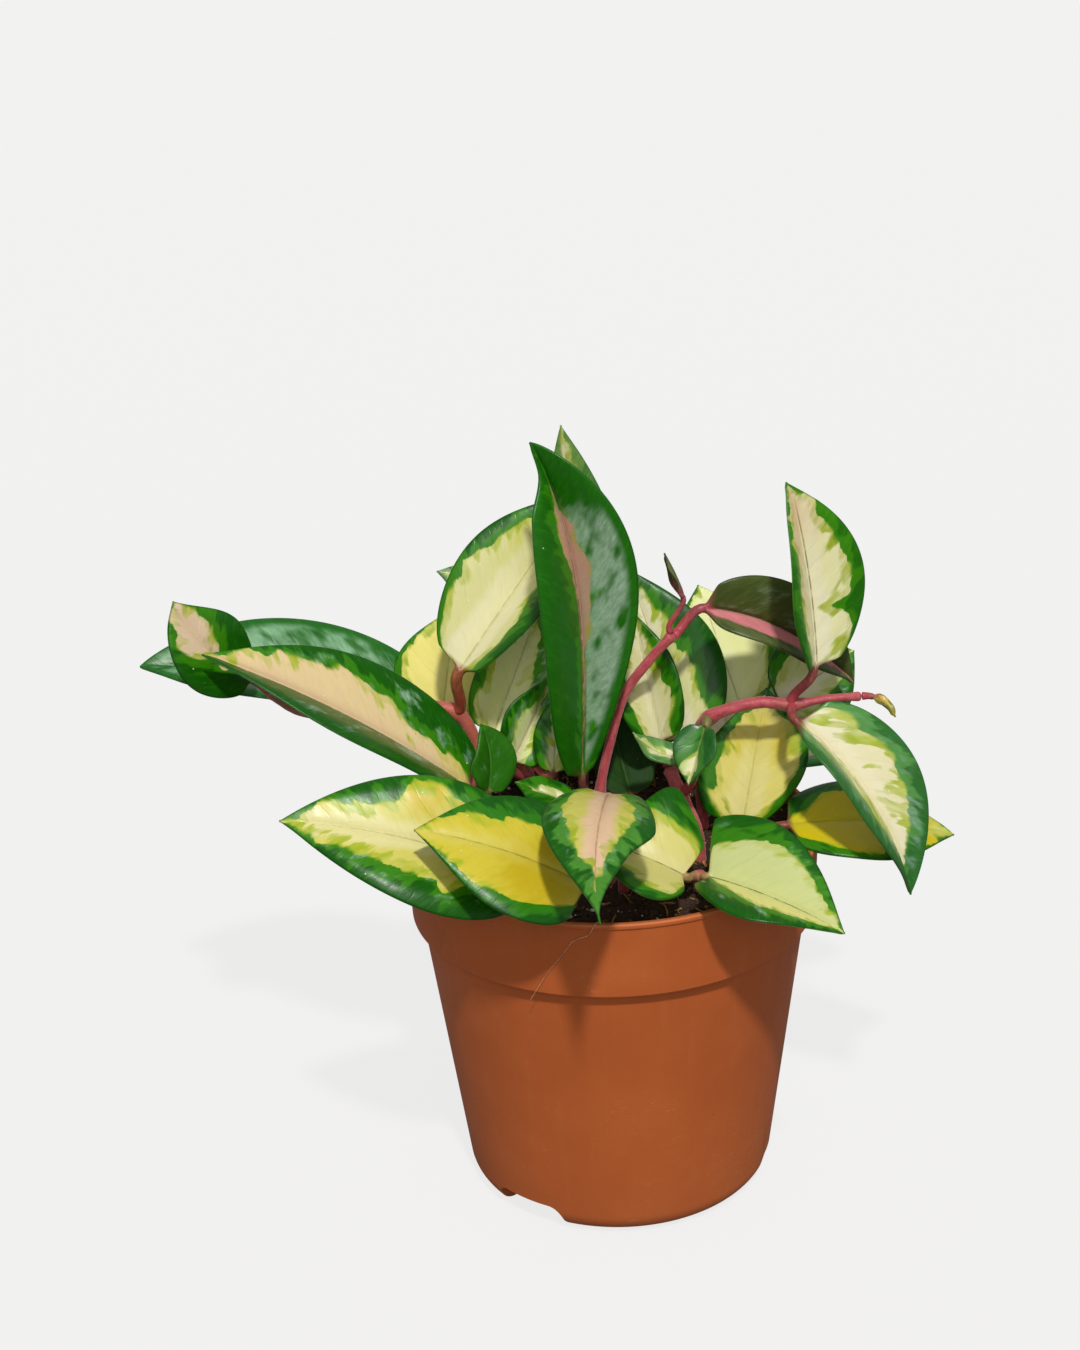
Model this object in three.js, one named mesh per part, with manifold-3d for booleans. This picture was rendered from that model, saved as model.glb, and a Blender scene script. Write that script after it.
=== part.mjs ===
// A variegated wax plant (hoya) in its terracotta-coloured plastic nursery pot.
// Millimetres, +Z up. The origin is the middle of the pot's underside.
// The viewer of the photograph stands on the -Y side, so +X is to the right.

import * as THREE from "three";
import { mergeVertices } from "three/addons/utils/BufferGeometryUtils.js";
import Module from "manifold-3d";

const wasm = await Module();
wasm.setup();

// Driving dimensions
const LIP_RADIUS = 60;
const POT_HEIGHT = 110;
const COLLAR_HEIGHT = 23;
const BASE_RADIUS = 45.3;
const POT_WALL = 1.4;
const SOIL_LEVEL = 103.5;
const GAP = 0.3;
const LEAF_THICKNESS = 1.4;
const PETIOLE_RADIUS = 1.35;

// Colours and finishes, read from the photograph
const FINISH = {
  pot: { color: 0xa85432, roughness: 0.42 },
  soil: { color: 0x2b2119, roughness: 0.95 },
  stem: { color: 0xa23c47, roughness: 0.5 },
  cream: { color: 0xcfd08a, roughness: 0.38 },
  green: { color: 0x2f7030, roughness: 0.32 },
  dark: { color: 0x4a5a2c, roughness: 0.35 },
};

const v3 = (p) => new THREE.Vector3(...p);
const radians = THREE.MathUtils.degToRad;
const mix = THREE.MathUtils.lerp;

const plant = new THREE.Group();

function addPiece(name, geometry, finish) {
  const material = new THREE.MeshStandardMaterial({ metalness: 0, ...FINISH[finish] });
  const mesh = new THREE.Mesh(geometry, material);
  mesh.name = name;
  plant.add(mesh);
}

// Closed geometry to solid and back
function toSolid(geometry) {
  const bare = geometry.clone();
  bare.deleteAttribute("normal");
  bare.deleteAttribute("uv");
  const merged = mergeVertices(bare, 1e-4);
  return new wasm.Manifold(new wasm.Mesh({
    numProp: 3,
    vertProperties: new Float32Array(merged.attributes.position.array),
    triVerts: new Uint32Array(merged.index.array),
  }));
}

function toGeometry(solid) {
  const mesh = solid.getMesh();
  const geometry = new THREE.BufferGeometry();
  geometry.setAttribute("position", new THREE.BufferAttribute(new Float32Array(mesh.vertProperties), 3));
  geometry.setIndex([...mesh.triVerts]);
  return geometry;
}

// The triangles that close a ring, as a strip between its first half and its second. Their
// diagonals fan out from the keel, so they stay inside a folded blade's ring, which isn't convex.
function capTriangles(size) {
  const triangles = [];
  for (let low = 0, high = size - 1; high - low > 1; low++, high--) {
    if (high - low === 2) triangles.push([low, low + 1, high]);
    else if (4 * low < size - 2) triangles.push([low, low + 1, high - 1], [low, high - 1, high]);
    else triangles.push([low, low + 1, high], [low + 1, high - 1, high]);
  }
  return triangles;
}

// A closed skin through a row of rings with equally many points, its two ends capped flat.
// Each quad of a ring's second half is split along the same diagonal as the quad it backs.
function skin(rings) {
  const size = rings[0].length;
  const positions = rings.flat().flatMap((p) => [p.x, p.y, p.z]);
  const triangles = [];
  for (let i = 0; i + 1 < rings.length; i++) {
    for (let j = 0; j < size; j++) {
      const a = i * size + j;
      const b = i * size + ((j + 1) % size);
      const c = b + size;
      const d = a + size;
      if (j < size / 2) triangles.push(a, b, d, b, c, d);
      else triangles.push(a, c, d, a, b, c);
    }
  }
  const last = (rings.length - 1) * size;
  for (const [a, b, c] of capTriangles(size)) {
    triangles.push(a, c, b);
    triangles.push(last + a, last + b, last + c);
  }
  const geometry = new THREE.BufferGeometry();
  geometry.setAttribute("position", new THREE.Float32BufferAttribute(positions, 3));
  geometry.setIndex(triangles);
  geometry.computeVertexNormals();
  return geometry;
}

// Pot: one moulded cup with a stepped collar, a rolled lip and three raised drainage channels
const LIP_HEIGHT = 1.6;
const LIP_OVERHANG = 0.5;
const LIP_ROUNDING = 0.4;
const FOOT_ROUNDING = 8;
const FOOT_STEPS = 4;
const FOOT_SWEEP = 84;
const STEP_HEIGHT = 1;
const STEP_BOTTOM = POT_HEIGHT - COLLAR_HEIGHT;
const STEP_TOP_RADIUS = 58.7;
const WALL_TOP_RADIUS = 55.9;
const CHANNEL_COUNT = 3;
const CHANNEL_WIDTH = 23;
const CHANNEL_HEIGHT = 8;
const CHANNEL_ROUNDING = 4;
const CHANNEL_START = 30;
const FIRST_CHANNEL_ANGLE = radians(-128);
const DRAIN_RADIUS = 3.5;
const DRAIN_DISTANCE = 36;
const DRAIN_DEPTH = 8;
const POT_SEGMENTS = 48;
const ROUND_SIDES = 12;

// The rounded foot, from under the pot up to where it meets the sloping wall
function footArc(radius, rounding, floor) {
  const points = [];
  for (let i = 0; i <= FOOT_STEPS; i++) {
    const angle = radians(-90 + (FOOT_SWEEP * i) / FOOT_STEPS);
    points.push([
      radius - rounding + rounding * Math.cos(angle),
      floor + rounding + rounding * Math.sin(angle),
    ]);
  }
  return points;
}

function outerProfile() {
  return [
    [0, 0],
    ...footArc(BASE_RADIUS, FOOT_ROUNDING, 0),
    [WALL_TOP_RADIUS, STEP_BOTTOM - STEP_HEIGHT],
    [STEP_TOP_RADIUS, STEP_BOTTOM],
    [LIP_RADIUS - LIP_OVERHANG, POT_HEIGHT - LIP_HEIGHT],
    [LIP_RADIUS, POT_HEIGHT - LIP_HEIGHT + LIP_ROUNDING],
    [LIP_RADIUS, POT_HEIGHT - LIP_ROUNDING],
    [LIP_RADIUS - LIP_ROUNDING, POT_HEIGHT],
  ];
}

function innerProfile(clearance, top) {
  const wall = POT_WALL + clearance;
  const step = STEP_BOTTOM + STEP_HEIGHT;
  const slope = (LIP_RADIUS - LIP_OVERHANG - STEP_TOP_RADIUS) / (COLLAR_HEIGHT - LIP_HEIGHT);
  return [
    [STEP_TOP_RADIUS - wall + (top - step) * slope, top],
    [STEP_TOP_RADIUS - wall, step],
    [WALL_TOP_RADIUS - wall, STEP_BOTTOM - STEP_HEIGHT],
    ...footArc(BASE_RADIUS - wall, FOOT_ROUNDING - POT_WALL, wall).reverse(),
    [0, wall],
  ];
}

function lathe(profile) {
  const points = profile.map((p) => new THREE.Vector2(...p));
  return new THREE.LatheGeometry(points, POT_SEGMENTS).rotateX(Math.PI / 2);
}

function forEachChannel(use) {
  for (let i = 0; i < CHANNEL_COUNT; i++) {
    use(FIRST_CHANNEL_ANGLE + (i * 2 * Math.PI) / CHANNEL_COUNT);
  }
}

// A round-shouldered bar that runs outward from start to end, as wide and high as given
function radialArch(angle, start, end, width, height) {
  const half = width / 2;
  const shape = new THREE.Shape();
  shape.moveTo(-half, -1);
  shape.lineTo(half, -1);
  shape.lineTo(half, height - CHANNEL_ROUNDING);
  shape.absarc(half - CHANNEL_ROUNDING, height - CHANNEL_ROUNDING, CHANNEL_ROUNDING, 0, Math.PI / 2);
  shape.absarc(CHANNEL_ROUNDING - half, height - CHANNEL_ROUNDING, CHANNEL_ROUNDING, Math.PI / 2, Math.PI);
  const bar = new THREE.ExtrudeGeometry(shape, { depth: end - start, bevelEnabled: false, curveSegments: 4 });
  bar.rotateX(Math.PI / 2);
  bar.rotateZ(Math.PI / 2);
  bar.translate(start, 0, 0);
  return toSolid(bar.rotateZ(angle));
}

function channelHousing(angle, clearance) {
  const wall = POT_WALL + clearance;
  const width = CHANNEL_WIDTH + 2 * wall;
  return radialArch(angle, CHANNEL_START - wall, LIP_RADIUS, width, CHANNEL_HEIGHT + wall);
}

function makePot() {
  const filled = toSolid(lathe([...outerProfile(), [0, POT_HEIGHT]]));
  let pot = toSolid(lathe([...outerProfile(), ...innerProfile(0, POT_HEIGHT)]));
  forEachChannel((angle) => {
    pot = pot.add(channelHousing(angle, 0).intersect(filled));
  });
  forEachChannel((angle) => {
    pot = pot.subtract(radialArch(angle, CHANNEL_START, LIP_RADIUS, CHANNEL_WIDTH, CHANNEL_HEIGHT));
    const drain = new THREE.CylinderGeometry(DRAIN_RADIUS, DRAIN_RADIUS, DRAIN_DEPTH, ROUND_SIDES);
    drain.rotateX(Math.PI / 2);
    drain.translate(DRAIN_DISTANCE * Math.cos(angle), DRAIN_DISTANCE * Math.sin(angle), CHANNEL_HEIGHT + 1);
    pot = pot.subtract(toSolid(drain));
  });
  addPiece("pot", toGeometry(pot), "pot");
}

// Stems: each runs through hand-placed points, and its leaves grow at some of these points.
// A stem that stands in the soil starts with two points, one above the other.
const ROOT_DEPTH = 14;
const STEM_SIDES = 7;
const NODE_SWELLING = 0.3;
const NODE_LENGTH = 0.22;

const rooted = (x, y) => [[x, y, SOIL_LEVEL - ROOT_DEPTH], [x, y, SOIL_LEVEL + 2]];

const STEMS = {
  stem_left_vine: {
    radius: 1.9,
    points: [
      ...rooted(-37, 10), [-39, 10, 115], [-39, 13, 133], [-44, 13, 142], [-58, 11, 145],
      [-89, 8, 144], [-98, 6, 151],
    ],
    nodes: [2, 4, 7],
  },
  stem_upper_arch: {
    radius: 1.4,
    points: [...rooted(-3, 4), [-3, 3, 119], [0, 3, 134], [5, 4, 150], [12, 4, 160], [19, 4, 168]],
    nodes: [2, 6],
  },
  stem_right_arch: {
    radius: 1.7,
    points: [
      ...rooted(27, 12), [26, 12, 122], [25, 8, 134], [29, 2, 143], [43, 0, 148],
      [52, 0, 147], [62, 0, 148.5], [72, 0, 149],
    ],
    nodes: [4, 6, 8],
  },
  stem_centre: {
    radius: 1.9,
    points: [...rooted(25, -9), [24, -8, 113], [20, -4, 122], [17, 0, 129]],
    nodes: [3, 4],
  },
  stem_front_right: {
    radius: 1.6,
    points: [...rooted(24, -27), [24, -29, 108], [24.5, -34, 111]],
    nodes: [3],
  },
  stem_front: {
    radius: 1.6,
    points: [...rooted(3, -27), [2.5, -30, 111], [-2, -44, 115]],
    nodes: [2, 3],
  },
  stem_front_left: {
    radius: 1.6,
    points: [...rooted(-20, -20), [-21, -22, 110], [-23, -36, 114]],
    nodes: [3],
  },
  stem_middle_left: {
    radius: 1.6,
    points: [...rooted(-22, 15), [-22, 15, 112], [-24, 16, 120], [-27, 18, 127]],
    nodes: [3, 4],
  },
  stem_right: {
    radius: 1.6,
    points: [...rooted(43, -7), [43, -7, 108], [43, -7, 112]],
    nodes: [2, 3],
  },
  stem_back_right: {
    radius: 1.6,
    points: [...rooted(34, 28), [35, 28, 116], [39, 24, 130]],
    nodes: [2, 3],
  },
  stem_back_left: {
    radius: 1.6,
    points: [...rooted(-8, 36), [-8, 36, 116], [-7, 38, 128], [-6, 40, 140]],
    nodes: [2, 3, 4],
  },
};

function stemCurve(stem) {
  return new THREE.CatmullRomCurve3(stem.points.map(v3), false, "centripetal");
}

function stemRadiusAt(stem, t) {
  const place = t * (stem.points.length - 1);
  let radius = stem.radius;
  for (const node of stem.nodes) {
    radius += stem.radius * NODE_SWELLING * Math.exp(-(((place - node) / NODE_LENGTH) ** 2));
  }
  return radius;
}

function circleRing(centre, across, up, radius, sides) {
  const ring = [];
  for (let j = 0; j < sides; j++) {
    const angle = Math.PI - ((j + 0.5) * 2 * Math.PI) / sides;
    const point = centre.clone().addScaledVector(across, radius * Math.cos(angle));
    ring.push(point.addScaledVector(up, radius * Math.sin(angle)));
  }
  return ring;
}

function makeStem(name, stem) {
  const curve = stemCurve(stem);
  const steps = (stem.points.length - 1) * 2;
  const rings = [];
  let up = new THREE.Vector3(0, 1, 0);
  for (let i = 0; i <= steps; i++) {
    const t = i / steps;
    const along = i <= 2 ? new THREE.Vector3(0, 0, 1) : curve.getTangent(t);
    up = up.clone().addScaledVector(along, -up.dot(along)).normalize();
    const across = new THREE.Vector3().crossVectors(along, up);
    rings.push(circleRing(curve.getPoint(t), across, up, stemRadiusAt(stem, t), STEM_SIDES));
  }
  addPiece(name, skin(rings), "stem");
}

// Leaves
const ACROSS = [-1, -0.55, 0, 0.55, 1];
const ALONG = [0.035, 0.12, 0.25, 0.4, 0.56, 0.72, 0.86, 0.95, 1];
const PETIOLE_GAP = 0.35;
const PETIOLE_STEPS = [0, 0.35, 0.7, 1];
const MARGIN_THINNING = 0.6;
const TIP_HALF_WIDTH = 0.7;
const TIP_THICKNESS = 0.7;
const TIP_THICKENING = 0.5;
const BELLY = 0.4;
const BASE_TAPER = 0.45;
const TIP_TAPER = 0.95;
const FOLD = [15, 15];

// Half width of a blade as a share of its widest place, from the base (0) to the tip (1)
function outline(u, belly, taper) {
  const power = mix(BASE_TAPER, taper, u);
  return Math.sin(Math.PI * u ** (Math.log(0.5) / Math.log(belly))) ** power;
}

// A bow is one height or a pair, for the base half and the tip half.
// A cubic curve reaches three quarters of the height of its controls.
function bow(size = 0, place) {
  return ((size[place] ?? size) * 4) / 3;
}

// A blade's midrib is a cubic curve from base to tip, bowed towards the upper face by arch
// and sideways by sway. face is the way that the upper face looks.
function midrib(leaf) {
  const base = v3(leaf.base);
  const tip = v3(leaf.tip);
  const chord = tip.clone().sub(base);
  const direction = chord.clone().normalize();
  const face = v3(leaf.face);
  face.addScaledVector(direction, -face.dot(direction)).normalize();
  const side = new THREE.Vector3().crossVectors(direction, face);
  const control = (share, place) => {
    const point = base.clone().addScaledVector(chord, share);
    point.addScaledVector(face, bow(leaf.arch, place));
    return point.addScaledVector(side, bow(leaf.sway, place));
  };
  const curve = new THREE.CubicBezierCurve3(base, control(1 / 3, 0), control(2 / 3, 1), tip);
  return { curve, face };
}

// A blade thins towards its tip, so that its two folded halves stay clear of each other there
function bladeThickness(halfWidth) {
  return Math.min(LEAF_THICKNESS, TIP_THICKNESS + TIP_THICKENING * (halfWidth - TIP_HALF_WIDTH));
}

// Points across one side of a blade: the fold lifts each half, and curl bends it further
function crossSection(s, halfWidth, fold, curl) {
  const reach = Math.abs(s);
  const bend = radians(fold + (curl * reach) / 2);
  const end = radians(fold + curl * reach);
  const side = Math.sign(s);
  return {
    x: side * halfWidth * reach * Math.cos(bend),
    h: halfWidth * reach * Math.sin(bend),
    nx: -side * Math.sin(end),
    nh: Math.cos(end),
  };
}

function bladeRing(leaf, curve, face, u) {
  const centre = curve.getPoint(u);
  const along = curve.getTangent(u);
  const up = face.clone().addScaledVector(along, -face.dot(along)).normalize();
  const across = new THREE.Vector3().crossVectors(along, up);
  const share = outline(u, leaf.belly ?? BELLY, leaf.taper ?? TIP_TAPER);
  const halfWidth = Math.max(TIP_HALF_WIDTH, (share * leaf.width) / 2);
  const folds = leaf.fold ?? FOLD;
  const curls = leaf.curl ?? [0, 0];
  const keelCosine = Math.cos(radians((folds[0] + folds[1]) / 2));
  const front = [];
  const back = [];
  for (const s of ACROSS) {
    const half = s < 0 ? 0 : 1;
    const section = crossSection(s, halfWidth, folds[half], curls[half]);
    const thickness = (bladeThickness(halfWidth) / 2) * mix(1, MARGIN_THINNING, Math.abs(s));
    const nx = s === 0 ? 0 : section.nx * thickness;
    const nh = s === 0 ? thickness / keelCosine : section.nh * thickness;
    const at = (x, h) => centre.clone().addScaledVector(across, x).addScaledVector(up, h);
    front.push(at(section.x + nx, section.h + nh));
    back.unshift(at(section.x - nx, section.h - nh));
  }
  return [...front, ...back];
}

// The petiole leaves its stem square to it, a gap away, and bends into the midrib
function petioleRings(leaf, curve, face) {
  const stem = STEMS[leaf.stem];
  const place = leaf.node / (stem.points.length - 1);
  const stemPath = stemCurve(stem);
  const centre = stemPath.getPoint(place);
  const stemAlong = stemPath.getTangent(place);
  const base = curve.getPoint(0);
  const away = base.clone().sub(centre);
  if (leaf.inline) away.copy(stemAlong);
  else away.addScaledVector(stemAlong, -away.dot(stemAlong));
  away.normalize();
  const reach = leaf.inline ? GAP : stemRadiusAt(stem, place) + PETIOLE_GAP;
  const start = centre.clone().addScaledVector(away, reach);
  const pull = start.distanceTo(base) / 3;
  const path = new THREE.CubicBezierCurve3(
    start,
    start.clone().addScaledVector(away, pull),
    base.clone().addScaledVector(curve.getTangent(0), -pull),
    base,
  );
  const radius = leaf.petiole ?? PETIOLE_RADIUS;
  return PETIOLE_STEPS.map((t) => {
    const along = path.getTangent(t);
    const up = face.clone().addScaledVector(along, -face.dot(along)).normalize();
    const across = new THREE.Vector3().crossVectors(along, up);
    return circleRing(path.getPoint(t), across, up, radius, 2 * ACROSS.length);
  });
}

function makeLeaf(name, leaf) {
  const { curve, face } = midrib(leaf);
  const rings = petioleRings(leaf, curve, face);
  for (const u of ALONG) rings.push(bladeRing(leaf, curve, face, u));
  addPiece(name, skin(rings), leaf.finish ?? "cream");
}

const LEAVES = {
  // Left vine: a long pair that reaches to the left, a tall cream pair above it, a curled end leaf
  leaf_left_silver: {
    stem: "stem_left_vine", node: 2, base: [-42, 26, 121], tip: [-137, 28, 153], face: [0.3, -0.6, 0.75],
    width: 40, fold: [50, 10], arch: 3, sway: [11, 7], belly: 0.45, finish: "green",
  },
  leaf_left_boat: {
    stem: "stem_left_vine", node: 2, base: [-40, 0, 123], tip: [-112, -11, 172], face: [0.4, 0, 0.9],
    width: 38, fold: [50, 50], arch: 3,
  },
  leaf_left_curled: {
    stem: "stem_left_vine", node: 7, base: [-102, 4, 156], tip: [-120, -3, 185], face: [0.2, -0.8, 0.6],
    width: 24, fold: [15, 15], sway: -3, belly: 0.48, inline: true,
  },
  leaf_cream_oval: {
    stem: "stem_left_vine", node: 4, base: [-42, 8, 157], tip: [-6, 26, 203], face: [-0.1, -0.9, 0.4],
    width: 42, fold: [18, 35], curl: [0, 20], petiole: 1.7,
  },
  leaf_cream_behind: {
    stem: "stem_left_vine", node: 4, base: [-49, 26, 134], tip: [-44, 40, 164], face: [-0.2, -0.9, 0.4],
    width: 32, fold: [14, 14],
  },
  // Middle: the tall dark leaf and the front leaf that bends over the lip, one pair
  leaf_tall: {
    stem: "stem_upper_arch", node: 2, base: [-8, 0, 125], tip: [-19, -3, 228], face: [0.2, -1, 0],
    width: 39, fold: [50, 44], sway: [4, 9], belly: 0.52, taper: 0.8, petiole: 1.2, finish: "green",
  },
  leaf_front_heart: {
    stem: "stem_upper_arch", node: 2, base: [-0.5, -32, 135], tip: [-3.5, -106, 135], face: [0, -0.25, 1],
    width: 30, fold: [3, 16], arch: [9.5, 6.5], sway: [0, 3], belly: 0.5, taper: 1.9, petiole: 1.2,
  },
  // The olive leaf and the young spear at the top of the upper arch
  leaf_olive_arch: {
    stem: "stem_upper_arch", node: 6, base: [28, 8, 174], tip: [71, 14, 147], face: [0.1, -0.7, 0.7],
    width: 27, fold: [42, 42], arch: 3, sway: [-4, -3], finish: "dark",
  },
  leaf_young_spear: {
    stem: "stem_upper_arch", node: 6, base: [22, 4, 179], tip: [17, 2, 193], face: [-1, -0.4, 0],
    width: 5, fold: [20, 20], petiole: 0.8, finish: "dark",
  },
  // Right arch: one leaf up, one hanging, and the small growing tip at its end
  leaf_right_upright: {
    stem: "stem_right_arch", node: 6, base: [58, -3, 159], tip: [50, -8, 216], face: [0.6, -0.75, 0.3],
    width: 33, fold: [36, 36], sway: 2, belly: 0.46,
  },
  leaf_right_hanging: {
    stem: "stem_right_arch", node: 6, base: [53, -10, 146], tip: [84, -22, 97], face: [0.5, -0.55, 0.65],
    width: 35, fold: [36, 36], sway: -3, arch: 4,
  },
  leaf_growing_tip: {
    stem: "stem_right_arch", node: 8, base: [75, 0, 148.7], tip: [81, -4, 144], face: [0.4, -0.4, 1],
    width: 4, fold: [25, 25], arch: 1, petiole: 0.9, inline: true,
  },
  // Front: four leaves that lie over the soil and the lip
  leaf_front_left: {
    stem: "stem_front_left", node: 3, base: [-23, -50, 119], tip: [-89, -50, 139], face: [0.15, -0.7, 0.7],
    width: 39, fold: [14, 8], arch: 3, sway: 2.5, belly: 0.36, inline: true,
  },
  leaf_front_yellow: {
    stem: "stem_front", node: 3, base: [-7, -60, 122], tip: [-52, -62, 141], face: [0.15, -0.65, 0.75],
    width: 37, fold: [10, -4], arch: 2, sway: 1.5, belly: 0.35, inline: true,
  },
  leaf_front_pair_left: {
    stem: "stem_front_right", node: 3, base: [19.5, -39, 113.5], tip: [-2, -35, 122], face: [0, -0.65, 0.75],
    width: 44, fold: [48, 5], arch: 2, belly: 0.38,
  },
  leaf_front_pair_right: {
    stem: "stem_front_right", node: 3, base: [28, -39, 113], tip: [61, -68, 110], face: [0.2, -0.4, 0.85],
    width: 40, fold: [38, 24], arch: 3, sway: -2, belly: 0.34,
  },
  // Right side: the pale upright oval and the yellow leaf that lies out over the lip
  leaf_right_oval: {
    stem: "stem_right", node: 2, base: [37, 0, 113], tip: [45, 13, 147], face: [0, -0.9, 0.45],
    width: 31, fold: [10, 10],
  },
  leaf_right_yellow: {
    stem: "stem_right", node: 3, base: [50, -8, 113], tip: [99, 1, 104], face: [0.1, -0.25, 0.95],
    width: 34, fold: [8, 4], arch: 3,
  },
  // Centre: two broad leaves behind, and the small saddle and lobe in front of them
  leaf_centre_broad: {
    stem: "stem_centre", node: 4, base: [23, 17, 129], tip: [7, 36, 176], face: [0.1, -0.9, 0.4],
    width: 36, fold: [12, 12],
  },
  leaf_centre_narrow: {
    stem: "stem_centre", node: 4, base: [15, 10, 132], tip: [8, 20, 169], face: [0, -0.9, 0.4],
    width: 22, fold: [35, 35], inline: true,
  },
  leaf_saddle: {
    stem: "stem_centre", node: 3, base: [23, -6, 134], tip: [7, -5, 142], face: [0.3, -0.5, 0.8],
    width: 11, fold: [20, 20], arch: -4,
  },
  leaf_lobe: {
    stem: "stem_right_arch", node: 4, base: [27.5, -8.6, 145], tip: [22, -16.6, 130.5], face: [-0.5, -0.8, 0.3],
    width: 15, fold: [30, 30],
  },
  // Middle left: the leaves half hidden between the cream oval and the tall leaf
  leaf_middle_cream: {
    stem: "stem_middle_left", node: 4, base: [-34, 21, 131], tip: [-19, 33, 167], face: [0.4, -0.8, 0.4],
    width: 33, fold: [24, 24],
  },
  leaf_middle_folded: {
    stem: "stem_middle_left", node: 3, base: [-28, 10, 127], tip: [-15, 22, 149], face: [0.2, -0.9, 0.4],
    width: 23, fold: [42, 42], finish: "green",
  },
  leaf_middle_small: {
    stem: "stem_middle_left", node: 4, base: [-16, 2, 127], tip: [-14, 9, 149], face: [-0.2, -0.9, 0.4],
    width: 13, fold: [15, 15],
  },
  leaf_middle_flat: {
    stem: "stem_upper_arch", node: 1, base: [-11, -9, 122], tip: [-27, -6, 128], face: [0, -0.2, 1],
    width: 14, fold: [8, 8],
  },
  leaf_left_small: {
    stem: "stem_front_left", node: 3, base: [-35, -8, 126], tip: [-36, -5, 146], face: [0.6, -0.75, 0.3],
    width: 16, fold: [20, 20], sway: 2, finish: "green",
  },
  leaf_centre_low: {
    stem: "stem_upper_arch", node: 1, base: [6, 12, 114], tip: [-3, 30, 122], face: [0.3, -0.3, 1],
    width: 14, fold: [15, 15], finish: "green",
  },
  // Back: the leaves seen only from the sides and from behind, besides a few tips
  leaf_back_tip: {
    stem: "stem_back_left", node: 4, base: [-5, 40, 147], tip: [-11, 34, 221], face: [0.3, -0.9, 0.2],
    width: 26, fold: [20, 20], inline: true,
  },
  leaf_back_thin: {
    stem: "stem_back_left", node: 4, base: [-15, 50, 150], tip: [-50, 55, 170], face: [-0.2, -0.3, 0.9],
    width: 26, fold: [18, 18], arch: 3,
  },
  leaf_back_centre: {
    stem: "stem_back_right", node: 3, base: [39, 27, 135], tip: [28, 50, 165], face: [0.2, -0.8, 0.6],
    width: 32, fold: [10, 10],
  },
  leaf_back_right: {
    stem: "stem_back_right", node: 3, base: [50, 22, 138], tip: [73, 34, 149], face: [0.1, -0.8, 0.5],
    width: 28, fold: [12, 12],
  },
  leaf_back_low_left: {
    stem: "stem_back_left", node: 2, base: [-17, 44, 117], tip: [-50, 88, 112], face: [-0.2, 0.2, 1],
    width: 36, fold: [20, 20], arch: 6,
  },
  leaf_back_low_centre: {
    stem: "stem_back_left", node: 3, base: [-5, 46, 126], tip: [2, 106, 116], face: [0, 0.3, 1],
    width: 38, fold: [16, 16], arch: 8,
  },
  leaf_back_side: {
    stem: "stem_back_left", node: 3, base: [-18, 43, 127], tip: [-62, 64, 122], face: [-0.2, -0.1, 1],
    width: 29, fold: [25, 25], arch: 6,
  },
  leaf_back_low_right: {
    stem: "stem_back_right", node: 2, base: [36, 38, 117], tip: [36, 94, 108], face: [0, 0.3, 1],
    width: 36, fold: [20, 20], arch: 6,
  },
  leaf_back_outer: {
    stem: "stem_back_right", node: 2, base: [46, 30, 115], tip: [88, 60, 90], face: [0.3, 0.1, 1],
    width: 33, fold: [18, 18], arch: 7,
  },
};

// Soil: fills the pot to below the lip, with a crumbled top and a plain hole for each stem
const SOIL_CRUMBLE = 0.8;
const SOIL_RINGS = 6;
const HOLE_HEADROOM = 6;
const HOLE_CLEARANCE = 0.5;

function crumble(x, y) {
  const slow = Math.sin(0.19 * x + 1.3) * Math.cos(0.16 * y - 0.4);
  const quick = Math.sin(0.53 * x - 0.7 * y) + Math.cos(0.61 * x + 0.47 * y + 2);
  return SOIL_CRUMBLE * (slow + 0.4 * quick);
}

function makeSoil() {
  const rim = innerProfile(GAP, SOIL_LEVEL);
  const top = [];
  for (let i = 0; i < SOIL_RINGS; i++) {
    top.push([(rim[0][0] * i) / SOIL_RINGS, SOIL_LEVEL]);
  }
  const profile = [...rim.reverse(), ...top.reverse()];
  const body = lathe(profile);
  const place = body.attributes.position;
  for (let i = 0; i < place.count; i++) {
    if (place.getZ(i) > SOIL_LEVEL - 0.1) {
      place.setZ(i, SOIL_LEVEL + crumble(place.getX(i), place.getY(i)));
    }
  }
  let soil = toSolid(body);
  forEachChannel((angle) => {
    soil = soil.subtract(channelHousing(angle, GAP));
  });
  for (const stem of Object.values(STEMS)) {
    const [x, y, bottom] = stem.points[0];
    const depth = SOIL_LEVEL + HOLE_HEADROOM - bottom;
    const radius = stem.radius + HOLE_CLEARANCE;
    const hole = new THREE.CylinderGeometry(radius, radius, depth, ROUND_SIDES).rotateX(Math.PI / 2);
    hole.translate(x, y, bottom - GAP + depth / 2);
    soil = soil.subtract(toSolid(hole));
  }
  addPiece("soil", toGeometry(soil), "soil");
}

makePot();
makeSoil();
for (const [name, stem] of Object.entries(STEMS)) makeStem(name, stem);
for (const [name, leaf] of Object.entries(LEAVES)) makeLeaf(name, leaf);

export default plant;
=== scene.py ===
# A potted variegated hoya: its leaves, stems, pot and soil, finely rebuilt from the same sizes.
# Sizes are in millimetres and turned into metres as a mesh is made. +Z is up.
# The viewer of the photograph stands on the -Y side, so +X is to the right.

import math

import bmesh
import bpy
import numpy as np
from mathutils import Matrix, Vector


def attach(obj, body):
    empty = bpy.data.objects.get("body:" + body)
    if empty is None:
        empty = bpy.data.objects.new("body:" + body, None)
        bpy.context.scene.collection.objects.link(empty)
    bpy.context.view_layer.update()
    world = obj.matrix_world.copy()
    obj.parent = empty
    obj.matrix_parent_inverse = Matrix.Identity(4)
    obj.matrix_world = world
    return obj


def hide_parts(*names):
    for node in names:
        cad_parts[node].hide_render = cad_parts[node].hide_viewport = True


MM = 0.001

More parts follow.
